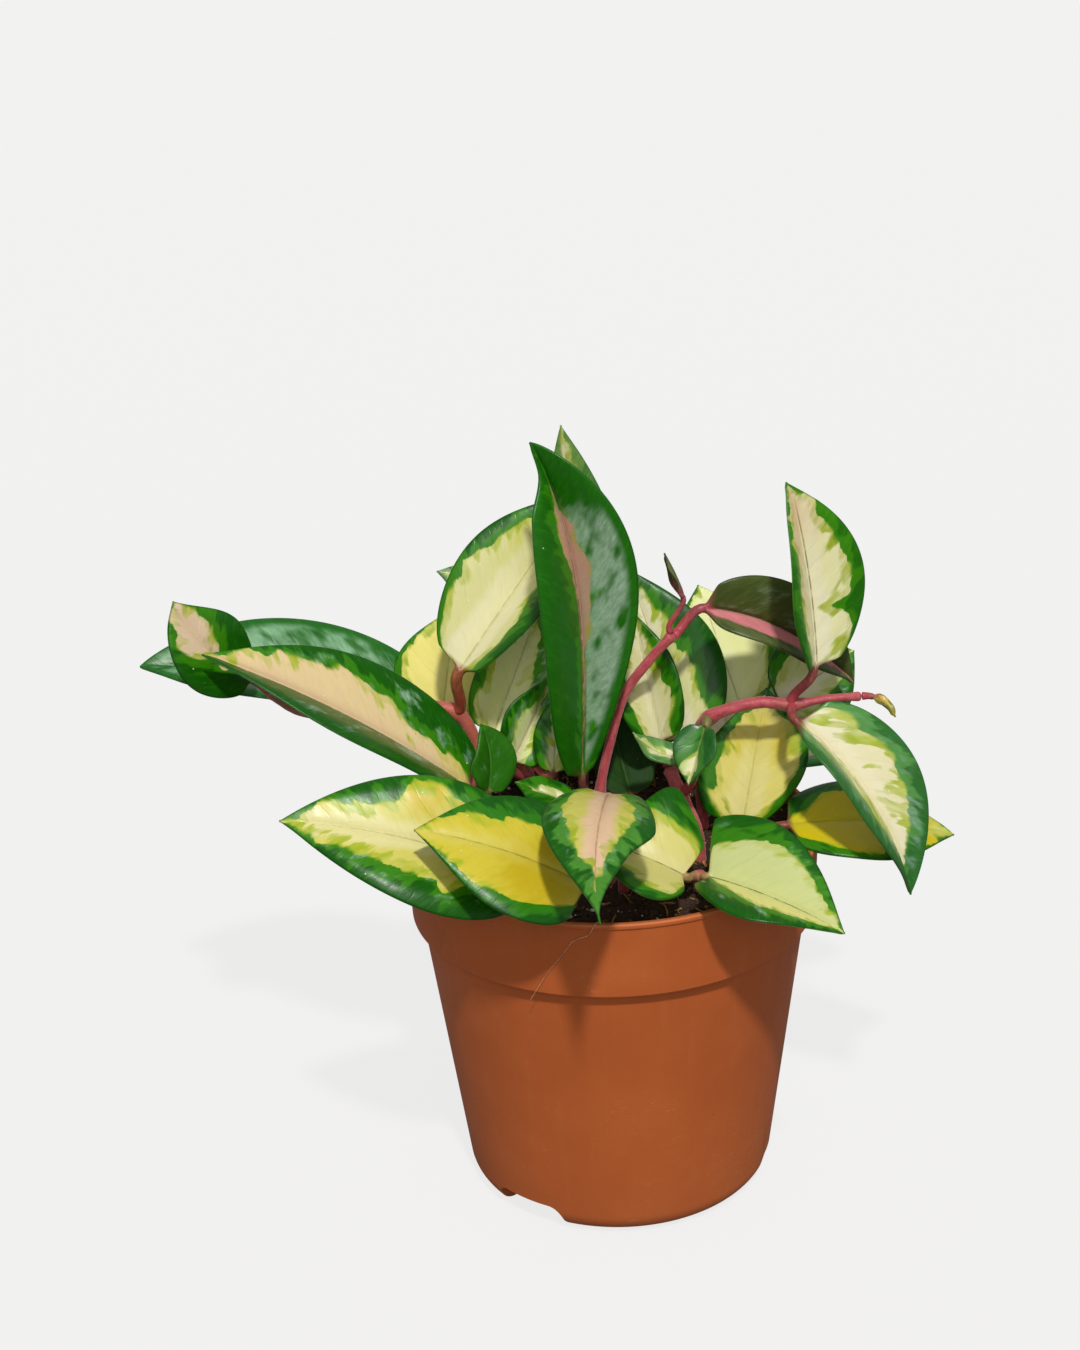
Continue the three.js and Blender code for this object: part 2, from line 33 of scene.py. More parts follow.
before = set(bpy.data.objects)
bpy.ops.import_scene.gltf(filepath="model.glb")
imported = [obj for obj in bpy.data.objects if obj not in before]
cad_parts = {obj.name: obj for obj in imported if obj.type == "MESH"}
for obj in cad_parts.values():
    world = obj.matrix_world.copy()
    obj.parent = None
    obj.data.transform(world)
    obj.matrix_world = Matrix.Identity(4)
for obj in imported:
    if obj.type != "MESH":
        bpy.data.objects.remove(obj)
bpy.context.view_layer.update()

# Camera, light and floor
CAMERA_ELEVATION = 0.5213965
CAMERA_ROLL = 0.0278226
CAMERA_DISTANCE = 800.0
CAMERA_TARGET = (0, 0, 50)
TARGET_PIXEL = (616.51, 1008.60)
IMAGE_SIZE = (1080, 1350)
FOCAL_PIXELS = 2665.0
SENSOR = 36.0
KEY_DIRECTION = (0.083, -0.589, 0.803)
KEY_STRENGTH = 2.35
KEY_ANGLE = 3.5
FILL_STRENGTH = 0.36
FRONT_STRENGTH = 0.42
FRONT_ANGLE = 30.0
FLOOR_SIZE = 8.0
FLOOR_GLOW = 0.8
SKY_GLOW = 0.9
FLOOR_FILL = 0.12


def add_camera():
    data = bpy.data.cameras.new("camera")
    camera = bpy.data.objects.new("camera", data)
    bpy.context.collection.objects.link(camera)
    data.sensor_width = SENSOR
    data.lens = FOCAL_PIXELS * SENSOR / max(IMAGE_SIZE)
    data.clip_start = 0.01
    data.clip_end = 50.0
    forward = Vector((0, math.cos(CAMERA_ELEVATION), -math.sin(CAMERA_ELEVATION)))
    right = Vector((1, 0, 0))
    aimed = Matrix((right, right.cross(forward), -forward))
    roll = Matrix.Rotation(CAMERA_ROLL, 3, "Z")
    off_axis = Vector((
        (TARGET_PIXEL[0] - IMAGE_SIZE[0] / 2) / FOCAL_PIXELS,
        (IMAGE_SIZE[1] / 2 - TARGET_PIXEL[1]) / FOCAL_PIXELS,
        -1,
    ))
    turn = Vector((0, 0, -1)).rotation_difference(off_axis).to_matrix()
    place = (Vector(CAMERA_TARGET) - forward * CAMERA_DISTANCE) * MM
    facing = (turn @ roll @ aimed).transposed().to_4x4()
    camera.matrix_world = Matrix.Translation(place) @ facing
    bpy.context.scene.camera = camera


def add_sun(name, strength, angle, direction):
    sun = bpy.data.lights.new(name, "SUN")
    sun.energy = strength
    sun.angle = math.radians(angle)
    sun.color = (1.0, 0.985, 0.96)
    lamp = bpy.data.objects.new(name, sun)
    bpy.context.collection.objects.link(lamp)
    lamp.rotation_mode = "QUATERNION"
    lamp.rotation_quaternion = Vector(direction).to_track_quat("Z", "Y")


def add_light():
    add_sun("key", KEY_STRENGTH, KEY_ANGLE, KEY_DIRECTION)
    front = (0, -math.cos(CAMERA_ELEVATION), math.sin(CAMERA_ELEVATION))
    add_sun("front", FRONT_STRENGTH, FRONT_ANGLE, front)
    world = bpy.data.worlds.new("studio")
    bpy.context.scene.world = world
    world.use_nodes = True
    background = world.node_tree.nodes["Background"]
    background.inputs["Color"].default_value = (0.95, 0.98, 1.0, 1)
    # Beyond the floor's edge the sky looks as pale as the floor
    seen = world.node_tree.nodes.new("ShaderNodeLightPath").outputs["Is Camera Ray"]
    strength = world.node_tree.nodes.new("ShaderNodeMath")
    strength.operation = "MULTIPLY_ADD"
    world.node_tree.links.new(seen, strength.inputs[0])
    strength.inputs[1].default_value = SKY_GLOW - FILL_STRENGTH
    strength.inputs[2].default_value = FILL_STRENGTH
    world.node_tree.links.new(strength.outputs[0], background.inputs["Strength"])


# Node trees in few words. A socket or a number can go wherever a value is asked for.
def srgb(colour):
    linear = [
        (c / 255) / 12.92 if c / 255 <= 0.04045 else ((c / 255 + 0.055) / 1.055) ** 2.4
        for c in colour
    ]
    return (*linear, 1.0)


class Shader:
    def __init__(self, name):
        self.material = bpy.data.materials.new(name)
        self.material.use_nodes = True
        self.tree = self.material.node_tree
        self.tree.nodes.clear()
        self.out = self.tree.nodes.new("ShaderNodeOutputMaterial")
        self.surface = self.tree.nodes.new("ShaderNodeBsdfPrincipled")
        self.tree.links.new(self.surface.outputs[0], self.out.inputs[0])

    def put(self, socket, value):
        if isinstance(value, bpy.types.NodeSocket):
            self.tree.links.new(value, socket)
        elif socket.type == "RGBA" and len(value) == 3:
            socket.default_value = srgb(value)
        else:
            socket.default_value = value

    def set(self, name, value):
        self.put(self.surface.inputs[name], value)

    def math(self, operation, a, b=0.0, c=0.0, clamp=False):
        node = self.tree.nodes.new("ShaderNodeMath")
        node.operation = operation
        node.use_clamp = clamp
        for socket, value in zip(node.inputs, (a, b, c)):
            self.put(socket, value)
        return node.outputs[0]

    def add(self, a, b):
        return self.math("ADD", a, b)

    def minus(self, a, b):
        return self.math("SUBTRACT", a, b)

    def times(self, a, b):
        return self.math("MULTIPLY", a, b)

    def ease(self, value, start, end, low=0.0, high=1.0):
        node = self.tree.nodes.new("ShaderNodeMapRange")
        node.interpolation_type = "SMOOTHSTEP"
        for socket, given in zip(node.inputs, (value, start, end, low, high)):
            self.put(socket, given)
        return node.outputs[0]

    def vector(self, x, y, z=0.0):
        node = self.tree.nodes.new("ShaderNodeCombineXYZ")
        for socket, value in zip(node.inputs, (x, y, z)):
            self.put(socket, value)
        return node.outputs[0]

    def split(self, vector):
        node = self.tree.nodes.new("ShaderNodeSeparateXYZ")
        self.put(node.inputs[0], vector)
        return node.outputs

    def attribute(self, name):
        node = self.tree.nodes.new("ShaderNodeAttribute")
        node.attribute_name = name
        return node.outputs

    def noise(self, vector, scale=1.0, detail=2.0, roughness=0.5, distortion=0.0):
        node = self.tree.nodes.new("ShaderNodeTexNoise")
        self.put(node.inputs["Vector"], vector)
        self.put(node.inputs["Scale"], scale)
        self.put(node.inputs["Detail"], detail)
        self.put(node.inputs["Roughness"], roughness)
        self.put(node.inputs["Distortion"], distortion)
        return node.outputs[0]

    def cells(self, vector, scale=1.0, feature="F1"):
        node = self.tree.nodes.new("ShaderNodeTexVoronoi")
        node.feature = feature
        self.put(node.inputs["Vector"], vector)
        self.put(node.inputs["Scale"], scale)
        return node.outputs

    def mix(self, factor, a, b, blend="MIX"):
        node = self.tree.nodes.new("ShaderNodeMix")
        node.data_type = "RGBA"
        node.blend_type = blend
        node.clamp_factor = True
        self.put(node.inputs[0], factor)
        self.put(node.inputs[6], a)
        self.put(node.inputs[7], b)
        return node.outputs[2]

    def bump(self, height, distance, strength=1.0, normal=None):
        node = self.tree.nodes.new("ShaderNodeBump")
        node.inputs["Strength"].default_value = strength
        node.inputs["Distance"].default_value = distance
        self.put(node.inputs["Height"], height)
        if normal is not None:
            self.put(node.inputs["Normal"], normal)
        return node.outputs[0]

    def position(self):
        """The place on the object, in millimetres."""
        node = self.tree.nodes.new("ShaderNodeTexCoord")
        scaled = self.tree.nodes.new("ShaderNodeVectorMath")
        scaled.operation = "SCALE"
        self.put(scaled.inputs[0], node.outputs["Object"])
        scaled.inputs["Scale"].default_value = 1 / MM
        return scaled.outputs[0]


def add_floor():
    shader = Shader("studio_floor")
    shader.set("Base Color", (0.08, 0.08, 0.08, 1))
    shader.set("Roughness", 0.9)
    shader.set("Specular IOR Level", 0.1)
    shader.set("Emission Color", (1.0, 0.995, 0.99, 1))
    # The floor looks bright and plain, but lights the plant's undersides only a little
    seen = shader.tree.nodes.new("ShaderNodeLightPath").outputs["Is Camera Ray"]
    shader.set("Emission Strength", shader.ease(seen, 0, 1, FLOOR_FILL, FLOOR_GLOW))
    half = FLOOR_SIZE / 2
    data = bpy.data.meshes.new("floor")
    corners = [(-half, -half), (half, -half), (half, half), (-half, half)]
    data.from_pydata([(x, y, -0.0003) for x, y in corners], [], [(0, 1, 2, 3)])
    floor = bpy.data.objects.new("floor", data)
    bpy.context.collection.objects.link(floor)
    floor.data.materials.append(shader.material)


add_camera()
add_light()
add_floor()
bpy.context.scene.view_settings.view_transform = "Standard"


# Meshes
def add_mesh(name, points, faces, material, attributes=()):
    """points in millimetres; attributes are (name, kind, array) with a row for each point."""
    data = bpy.data.meshes.new(name)
    data.from_pydata((np.asarray(points) * MM).tolist(), [], faces)
    for label, kind, values in attributes:
        layer = data.attributes.new(label, kind, "POINT")
        field = "vector" if kind == "FLOAT_VECTOR" else "value"
        layer.data.foreach_set(field, np.asarray(values, np.float32).ravel())
    data.polygons.foreach_set("use_smooth", [True] * len(data.polygons))
    data.update()
    piece = bpy.data.objects.new(name, data)
    bpy.context.collection.objects.link(piece)
    piece.data.materials.append(material)
    return piece


def finish_piece(piece, slot, *nodes):
    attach(piece, "root")
    if nodes:
        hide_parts(*nodes)


def ring_faces(rows, size):
    """The faces of a skin over rows of rings, with both ends capped."""
    faces = []
    for i in range(rows - 1):
        for j in range(size):
            a = i * size + j
            b = i * size + (j + 1) % size
            faces.append((a, b, b + size, a + size))
    last = (rows - 1) * size
    faces.append(tuple(range(size - 1, -1, -1)))
    faces.append(tuple(range(last, last + size)))
    return faces


def unit(v):
    return v / np.linalg.norm(v)


def smooth(x):
    x = np.clip(x, 0, 1)
    return x * x * (3 - 2 * x)


def mix(a, b, t):
    return a + (b - a) * t


# Stems
NODE_SWELLING = 0.3
NODE_LENGTH = 0.22
THINNING_START = 0.76
THINNING_END = 0.84
STEM_SIDES = 24
STEM_RINGS_PER_SPAN = 22
SOIL_LEVEL = 103.5
ROOT_DEPTH = 14


def rooted(x, y):
    return [x, y, SOIL_LEVEL - ROOT_DEPTH], [x, y, SOIL_LEVEL + 2]


STEMS = {
    "stem_left_vine": {
        "radius": 1.9, "nodes": [2, 4, 7],
        "points": [
            *rooted(-37, 10), [-39, 10, 115], [-39, 13, 133], [-44, 13, 142], [-58, 11, 145], [-87, 8, 146],
            [-97, 6, 154],
        ],
    },
    "stem_upper_arch": {
        "radius": 1.4, "nodes": [2, 6],
        "points": [*rooted(-3, 4), [-3, 3, 119], [0, 3, 134], [5, 4, 150], [12, 4, 160], [19, 4, 168]],
    },
    "stem_right_arch": {
        "radius": 1.7, "tipRadius": 1.15, "nodes": [4, 6, 8],
        "points": [
            *rooted(27, 12), [26, 12, 122], [25, 8, 134], [29, 2, 143], [43, 0, 148], [52, 0, 147],
            [62, 0, 148.5], [72, 0, 149],
        ],
    },
    "stem_centre": {
        "radius": 1.9, "nodes": [3, 4],
        "points": [*rooted(25, -9), [24, -8, 113], [20, -4, 122], [17, 0, 129]],
    },
    "stem_front_right": {
        "radius": 1.6, "nodes": [3],
        "points": [*rooted(24, -27), [24, -29, 108], [24.5, -34, 111]],
    },
    "stem_front": {
        "radius": 1.6, "nodes": [2, 3],
        "points": [*rooted(3, -27), [2.5, -30, 111], [-2, -44, 115]],
    },
    "stem_front_left": {
        "radius": 1.6, "nodes": [3],
        "points": [*rooted(-20, -20), [-21, -22, 110], [-23, -36, 114]],
    },
    "stem_middle_left": {
        "radius": 1.6, "nodes": [3, 4],
        "points": [*rooted(-22, 15), [-22, 15, 112], [-24, 16, 120], [-27, 18, 127]],
    },
    "stem_right": {
        "radius": 1.6, "nodes": [2, 3],
        "points": [*rooted(43, -7), [43, -7, 108], [43, -7, 112]],
    },
    "stem_back_right": {
        "radius": 1.6, "nodes": [2, 3],
        "points": [*rooted(34, 28), [35, 28, 116], [39, 24, 130]],
    },
    "stem_back_left": {
        "radius": 1.6, "nodes": [2, 3, 4],
        "points": [*rooted(-8, 36), [-8, 36, 116], [-7, 38, 128], [-6, 40, 140]],
    },
}


def catmull_rom(points, t):
    """A point of the centripetal curve through points, for t from 0 to 1."""
    place = t * (len(points) - 1)
    i = min(int(place), len(points) - 2)
    w = place - i
    p1, p2 = points[i], points[i + 1]
    p0 = points[i - 1] if i > 0 else 2 * p1 - p2
    p3 = points[i + 2] if i + 2 < len(points) else 2 * p2 - p1
    d0, d1, d2 = (np.linalg.norm(b - a) ** 0.5 for a, b in ((p0, p1), (p1, p2), (p2, p3)))
    t1 = ((p1 - p0) / d0 - (p2 - p0) / (d0 + d1) + (p2 - p1) / d1) * d1
    t2 = ((p2 - p1) / d1 - (p3 - p1) / (d1 + d2) + (p3 - p2) / d2) * d1
    cubic = 2 * p1 - 2 * p2 + t1 + t2
    square = -3 * p1 + 3 * p2 - 2 * t1 - t2
    return p1 + t1 * w + square * w**2 + cubic * w**3


def stem_path(stem):
    points = [np.array(p, float) for p in stem["points"]]
    return lambda t: catmull_rom(points, min(max(t, 0), 1))


def tangent(path, t):
    step = 1e-4
    return unit(path(min(t + step, 1)) - path(max(t - step, 0)))


def stem_radius(stem, t):
    place = t * (len(stem["points"]) - 1)
    thinned = smooth((t - THINNING_START) / (THINNING_END - THINNING_START))
    swelling = 1.0
    for node in stem["nodes"]:
        swelling += NODE_SWELLING * math.exp(-(((place - node) / NODE_LENGTH) ** 2))
    return swelling * mix(stem["radius"], stem.get("tipRadius", stem["radius"]), thinned)


TUBE_LUMPS = 0.02
TUBE_RIPPLES = 0.012


def tube(path, steps, radius_at, sides, up=(0, 1, 0)):
    """Points and lengths of a tube along a path, its two ends rounded."""
    up = np.array(up, float)
    ts = np.linspace(0, 1, steps)
    centres = np.array([path(t) for t in ts])
    lengths = np.r_[0, np.cumsum(np.linalg.norm(np.diff(centres, axis=0), axis=1))]
    points, places = [], []
    for t, centre, length in zip(ts, centres, lengths):
        along = tangent(path, t)
        up = unit(up - along * along.dot(up))
        across = np.cross(along, up)
        radius = radius_at(t)
        end = min(length, lengths[-1] - length) / radius
        if end < 1:
            radius *= max(0.12, math.sqrt(1 - (1 - end) ** 2))
        for j in range(sides):
            angle = 2 * math.pi * j / sides
            bumpy = 1 + TUBE_LUMPS * math.sin(3 * angle + length / 5)
            bumpy += TUBE_RIPPLES * math.sin(length * 1.9 + 2 * angle)
            offset = across * math.cos(angle) + up * math.sin(angle)
            points.append(centre + offset * radius * bumpy)
            places.append((length, angle, t))
    return points, places


# Leaves: the same blades as the solids, with rounded margins, a sunk midrib above and a raised
# one below, pillowed halves and slightly wavy margins.
LEAF_THICKNESS = 1.25
MARGIN_THICKNESS = 0.8
MARGIN_ROUNDING = 0.4
TIP_HALF_WIDTH = 0.3
TIP_THICKNESS = 0.55
PETIOLE_RADIUS = 1.35
BELLY = 0.4
BASE_TAPER = 0.45
TIP_TAPER = 0.95
BLADE_STEPS = 76
PETIOLE_RINGS = 12
BLENDING = 0.05
ACROSS = [0.02, 0.05, 0.1, 0.17, 0.26, 0.36, 0.47, 0.58, 0.69, 0.79, 0.87, 0.925, 0.96, 0.982, 0.995, 1]
ACROSS = np.array([-s for s in reversed(ACROSS)] + [0] + ACROSS)
RIB_GROOVE = 0.3
RIB_RIDGE = 0.55
GROOVE_REACH = 0.75
RIDGE_REACH = 1.1
CREASE_REACH = 0.8
PILLOW = 0.028
MARGIN_ROLL = 0.05
ROLL_START = 0.74
WAVE_HEIGHT = 0.45
WAVE_COUNT = 1.6
QUILTING = 0.06
VEIN_SPACING = 6.5
VEIN_SLANT = 0.9
LOBE_LENGTH = 0.3
ALL_GREEN_DEPTH = 14

def leaf(stem, node, base, tip, face, width, **shape):
    """A leaf on a node of a stem. fold, curl, belly and lobes give its left and its right half."""
    place = {"stem": "stem_" + stem, "node": node, "base": base, "tip": tip, "face": face}
    return {**place, "width": width, **shape}


LEAVES = {
    # Left vine: a long pair that reaches to the left, a tall cream pair above it, a curled end leaf
    "left_silver": leaf(
        "left_vine", 2, (-42, 26, 121), (-137, 28, 153), (.3, -.6, .75), 40, fold=(42, 10), arch=3,
        sway=(11, 7), belly=(.6, .48), taper=.8, finish="green",
    ),
    "left_boat": leaf(
        "left_vine", 2, (-40, 0, 123), (-112, -11, 172), (.4, 0, .9), 38, fold=(9, 50), arch=3,
    ),
    "left_curled": leaf(
        "left_vine", 7, (-101, 4, 158), (-120, -3, 185), (.2, -.8, .6), 24, fold=(15, 15), sway=-3,
        belly=.48, inline=True,
    ),
    "cream_oval": leaf(
        "left_vine", 4, (-42, 8, 157), (-6, 26, 203), (-.1, -.9, .4), 37, fold=(16, 44), curl=(0, 22),
        belly=.45, taper=.9, petiole=1.7,
    ),
    "cream_behind": leaf("left_vine", 4, (-49, 26, 134), (-44, 40, 164), (-.2, -.9, .4), 32, fold=(14, 14)),
    # Middle: the tall dark leaf and the front leaf that bends over the lip, one pair
    "tall": leaf(
        "upper_arch", 2, (-8, 0, 125), (-19, -3, 228), (.2, -1, 0), 39, fold=(50, 40), sway=(4, 9),
        belly=(.5, .65), taper=.75, tuck=(.35, .83, .93), petiole=1.2, finish="green",
    ),
    "front_heart": leaf(
        "upper_arch", 2, (-.5, -32, 135), (-3.5, -106, 135), (0, -.25, 1), 30, fold=(3, 16),
        arch=(9.5, 6.5), sway=(0, 3), belly=.5, taper=1.9, tuck=(.68, .5, .68), petiole=1.2,
    ),
    # The olive leaf and the young spear at the top of the upper arch
    "olive_arch": leaf(
        "upper_arch", 6, (28, 8, 174), (71, 14, 147), (.1, -.7, .7), 27, fold=(42, 42), arch=3,
        sway=(-4, -3), finish="dark",
    ),
    "young_spear": leaf(
        "upper_arch", 6, (22, 4, 179), (17, 2, 193), (-1, -.4, 0), 5, fold=(20, 20), petiole=.8,
        finish="dark",
    ),
    # Right arch: one leaf up, one hanging, and the small growing tip at its end
    "right_upright": leaf(
        "right_arch", 6, (58, -3, 159), (50, -8, 216), (.6, -.75, .3), 33, fold=(36, 36), sway=2, belly=.46,
    ),
    "right_hanging": leaf(
        "right_arch", 6, (53, -10, 146), (84, -22, 97), (.5, -.55, .65), 35, fold=(36, 36), sway=-3, arch=4,
    ),
    "growing_tip": leaf(
        "right_arch", 8, (75, 0, 148.7), (81, -4, 144), (.4, -.4, 1), 4, fold=(25, 25), arch=1, petiole=.9,
        inline=True,
    ),
    # Front: four leaves that lie over the soil and the lip
    "front_left": leaf(
        "front_left", 3, (-23, -50, 119), (-89, -50, 139), (.15, -.7, .7), 39, fold=(14, 8), arch=3,
        sway=2.5, belly=.36, inline=True,
    ),
    "front_yellow": leaf(
        "front", 3, (-7, -60, 122), (-52, -62, 141), (.15, -.65, .75), 37, fold=(10, -4), arch=2, sway=1.5,
        belly=.35, inline=True,
    ),
    "front_pair_left": leaf(
        "front_right", 3, (19.5, -39, 113.5), (-2, -35, 122), (0, -.65, .75), 46, fold=(48, 0), arch=2,
        belly=.46, lobes=(0, 4),
    ),
    "front_pair_right": leaf(
        "front_right", 3, (26, -41, 114), (61, -68, 110), (.2, -.65, .6), 40, fold=(20, 46), arch=1,
        sway=-1, belly=(.24, .45), lobes=(6.5, 0),
    ),
    # Right side: the pale upright oval and the yellow leaf that lies out over the lip
    "right_oval": leaf(
        "right", 2, (38, 2.5, 108), (46, 15, 146), (0, -.9, .45), 31, fold=(10, 12), belly=(.34, .54),
    ),
    "right_yellow": leaf("right", 3, (50, -8, 113), (99, 1, 104), (.1, -.25, .95), 34, fold=(5, 4), arch=3),
    # Centre: two broad leaves behind, and the small saddle and lobe in front of them
    "centre_broad": leaf("centre", 4, (23, 17, 129), (7, 36, 176), (.1, -.9, .4), 36, fold=(12, 12)),
    "centre_narrow": leaf(
        "centre", 4, (15, 10, 132), (8, 20, 169), (0, -.9, .4), 22, fold=(35, 35), inline=True,
    ),
    "saddle": leaf("centre", 3, (23, -6, 134), (7, -5, 142), (.3, -.5, .8), 9, fold=(20, 20), arch=-4),
    "lobe": leaf("right_arch", 4, (27.5, -8.6, 145), (22, -16.6, 130.5), (-.5, -.8, .3), 15, fold=(30, 30)),
    # Middle left: the leaves half hidden between the cream oval and the tall leaf
    "middle_cream": leaf(
        "middle_left", 4, (-34, 21, 131), (-19, 33, 167), (.4, -.8, .4), 30, fold=(26, 44),
    ),
    "middle_folded": leaf(
        "middle_left", 3, (-28, 10, 127), (-15, 18.5, 151), (.2, -.9, .4), 23, fold=(42, 42),
        finish="green",
    ),
    "middle_small": leaf("middle_left", 4, (-16, 2, 127), (-14, 9, 149), (-.2, -.9, .4), 13, fold=(15, 15)),
    "middle_flat": leaf("upper_arch", 1, (-11, -9, 122), (-27, -6, 128), (0, -.2, 1), 14, fold=(8, 8)),
    "left_small": leaf(
        "front_left", 3, (-35, -8, 126), (-36, -5, 146), (.6, -.75, .3), 16, fold=(20, 20), sway=2,
        finish="green",
    ),
    "centre_low": leaf(
        "upper_arch", 1, (6, 12, 114), (0, 30, 134), (.3, -.8, .6), 20, fold=(15, 15), finish="green",
    ),
    # Back: the leaves seen only from the sides and from behind, besides a few tips
    "back_tip": leaf(
        "back_left", 4, (-5, 40, 147), (-11, 34, 221), (.3, -.9, .2), 26, fold=(20, 20), inline=True,
    ),
    "back_thin": leaf(
        "back_left", 4, (-15, 50, 150), (-50, 55, 170), (-.2, -.3, .9), 26, fold=(18, 18), arch=3,
    ),
    "back_centre": leaf("back_right", 3, (39, 27, 135), (28, 50, 165), (.2, -.8, .6), 32, fold=(10, 10)),
    "back_right": leaf("back_right", 3, (50, 22, 138), (73, 34, 149), (.1, -.8, .5), 28, fold=(12, 12)),
    "back_low_left": leaf(
        "back_left", 2, (-17, 44, 117), (-50, 88, 112), (-.2, .2, 1), 36, fold=(20, 20), arch=6,
    ),
    "back_low_centre": leaf(
        "back_left", 3, (-5, 46, 126), (2, 106, 116), (0, .3, 1), 38, fold=(16, 16), arch=8,
    ),
    "back_side": leaf(
        "back_left", 3, (-18, 43, 127), (-62, 64, 122), (-.2, -.1, 1), 29, fold=(25, 25), arch=6,
    ),
    "back_low_right": leaf(
        "back_right", 2, (36, 38, 117), (36, 94, 108), (0, .3, 1), 36, fold=(20, 20), arch=6,
    ),
    "back_outer": leaf(
        "back_right", 2, (46, 30, 115), (88, 60, 90), (.3, .1, 1), 33, fold=(18, 18), arch=7,
    ),
}


def pair(value):
    return value if isinstance(value, (list, tuple)) else (value, value)


def bezier(a, b, c, d):
    return lambda t: (1 - t) ** 3 * a + 3 * (1 - t) ** 2 * t * b + 3 * (1 - t) * t**2 * c + t**3 * d


def midrib(leaf):
    base, tip, face = (np.array(leaf[k], float) for k in ("base", "tip", "face"))
    chord = tip - base
    direction = unit(chord)
    face = unit(face - direction * direction.dot(face))
    side = np.cross(direction, face)
    controls = []
    for share, arch, sway in zip((1 / 3, 2 / 3), pair(leaf.get("arch", 0)), pair(leaf.get("sway", 0))):
        controls.append(base + chord * share + (face * arch + side * sway) * 4 / 3)
    return bezier(base, *controls, tip), face


def half_width(leaf, u, half=1):
    """The width of the left (0) or right (1) half of a blade."""
    power = mix(BASE_TAPER, leaf.get("taper", TIP_TAPER), u)
    belly = pair(leaf.get("belly", BELLY))[half]
    share = math.sin(math.pi * u ** (math.log(0.5) / math.log(belly))) if 0 < u < 1 else 0.0
    kept, start, end = leaf.get("tuck", (1, 0, 1)) if half == 0 else (1, 0, 1)
    narrowed = mix(1, kept, smooth((u - start) / (end - start)))
    return max(TIP_HALF_WIDTH, narrowed * max(share, 0.0) ** power * leaf["width"] / 2)


def green_share(profile, u):
    """The share at u of a margin written as "place share, place share"."""
    us, shares = np.array([pair_text.split() for pair_text in profile.split(",")], float).T
    return float(np.interp(u, us, shares))


def section(leaf, look, u, along):
    """One cross-section of the blade: the middle surface, its normals and the half thickness."""
    halves = half_width(leaf, u, 0), half_width(leaf, u, 1)
    widest = max(halves)
    width = np.where(ACROSS < 0, *halves)
    folds, curls = leaf.get("fold", (15, 15)), leaf.get("curl", (0, 0))
    reach = np.abs(ACROSS)
    side = np.sign(ACROSS)
    fold = np.radians(np.where(ACROSS < 0, folds[0], folds[1]))
    curl = np.radians(np.where(ACROSS < 0, curls[0], curls[1]))
    crease = 1 - np.exp(-((reach * width / CREASE_REACH) ** 2))
    bend = (fold + curl * reach / 2) * (0.25 + 0.75 * crease)
    end = (fold + curl * reach) * crease
    x = side * width * reach * np.cos(bend)
    h = width * reach * np.sin(bend)
    nx, nh = -side * np.sin(end), np.cos(end)
    # Pillowed halves, margins rolled a little down, and a slow wave along each margin
    ends = smooth(u / 0.1) * smooth((1 - u) / 0.15)
    rolled = MARGIN_ROLL * look.get("roll", 1.0) * np.clip((reach - ROLL_START) / (1 - ROLL_START), 0, 1) ** 2
    lift = width * (PILLOW * 4 * reach * (1 - reach) - rolled)
    phase = look["seed"] * 2.4 + np.where(ACROSS < 0, 0.0, 2.1)
    lift = lift + WAVE_HEIGHT * np.sin(2 * np.pi * WAVE_COUNT * u + phase) * reach**3
    veins = along - VEIN_SLANT * reach * width
    lift = lift + QUILTING * np.cos(2 * np.pi * veins / VEIN_SPACING) * 4 * reach * (1 - reach)
    lift = lift * ends
    thick = min(LEAF_THICKNESS, TIP_THICKNESS + 0.35 * (widest - TIP_HALF_WIDTH))
    margin = min(MARGIN_THICKNESS, thick)
    from_margin = (1 - reach) * width
    rounding = 1 - np.clip(from_margin / MARGIN_ROUNDING, 0, 1)
    half = mix(thick, margin, reach) / 2 * np.sqrt(1 - rounding**2)
    rib = np.exp(-((reach * width / GROOVE_REACH) ** 2)) * smooth(u / 0.04) * smooth((1 - u) / 0.2)
    above = half - RIB_GROOVE * rib * min(1, widest / 6)
    below = half + RIB_RIDGE * np.exp(-((reach * width / RIDGE_REACH) ** 2)) * (1 - u) * min(1, widest / 4)
    x, h = x + nx * lift, h + nh * lift
    return width, (x + nx * above, h + nh * above), (x - nx * below, h - nh * below)


def ring_angles(count):
    """Angles that pair a round petiole's points with the points of a blade's section."""
    front = np.pi * (1 - np.arange(count) / (count - 1))
    return np.r_[front, -front[::-1][1:-1]]


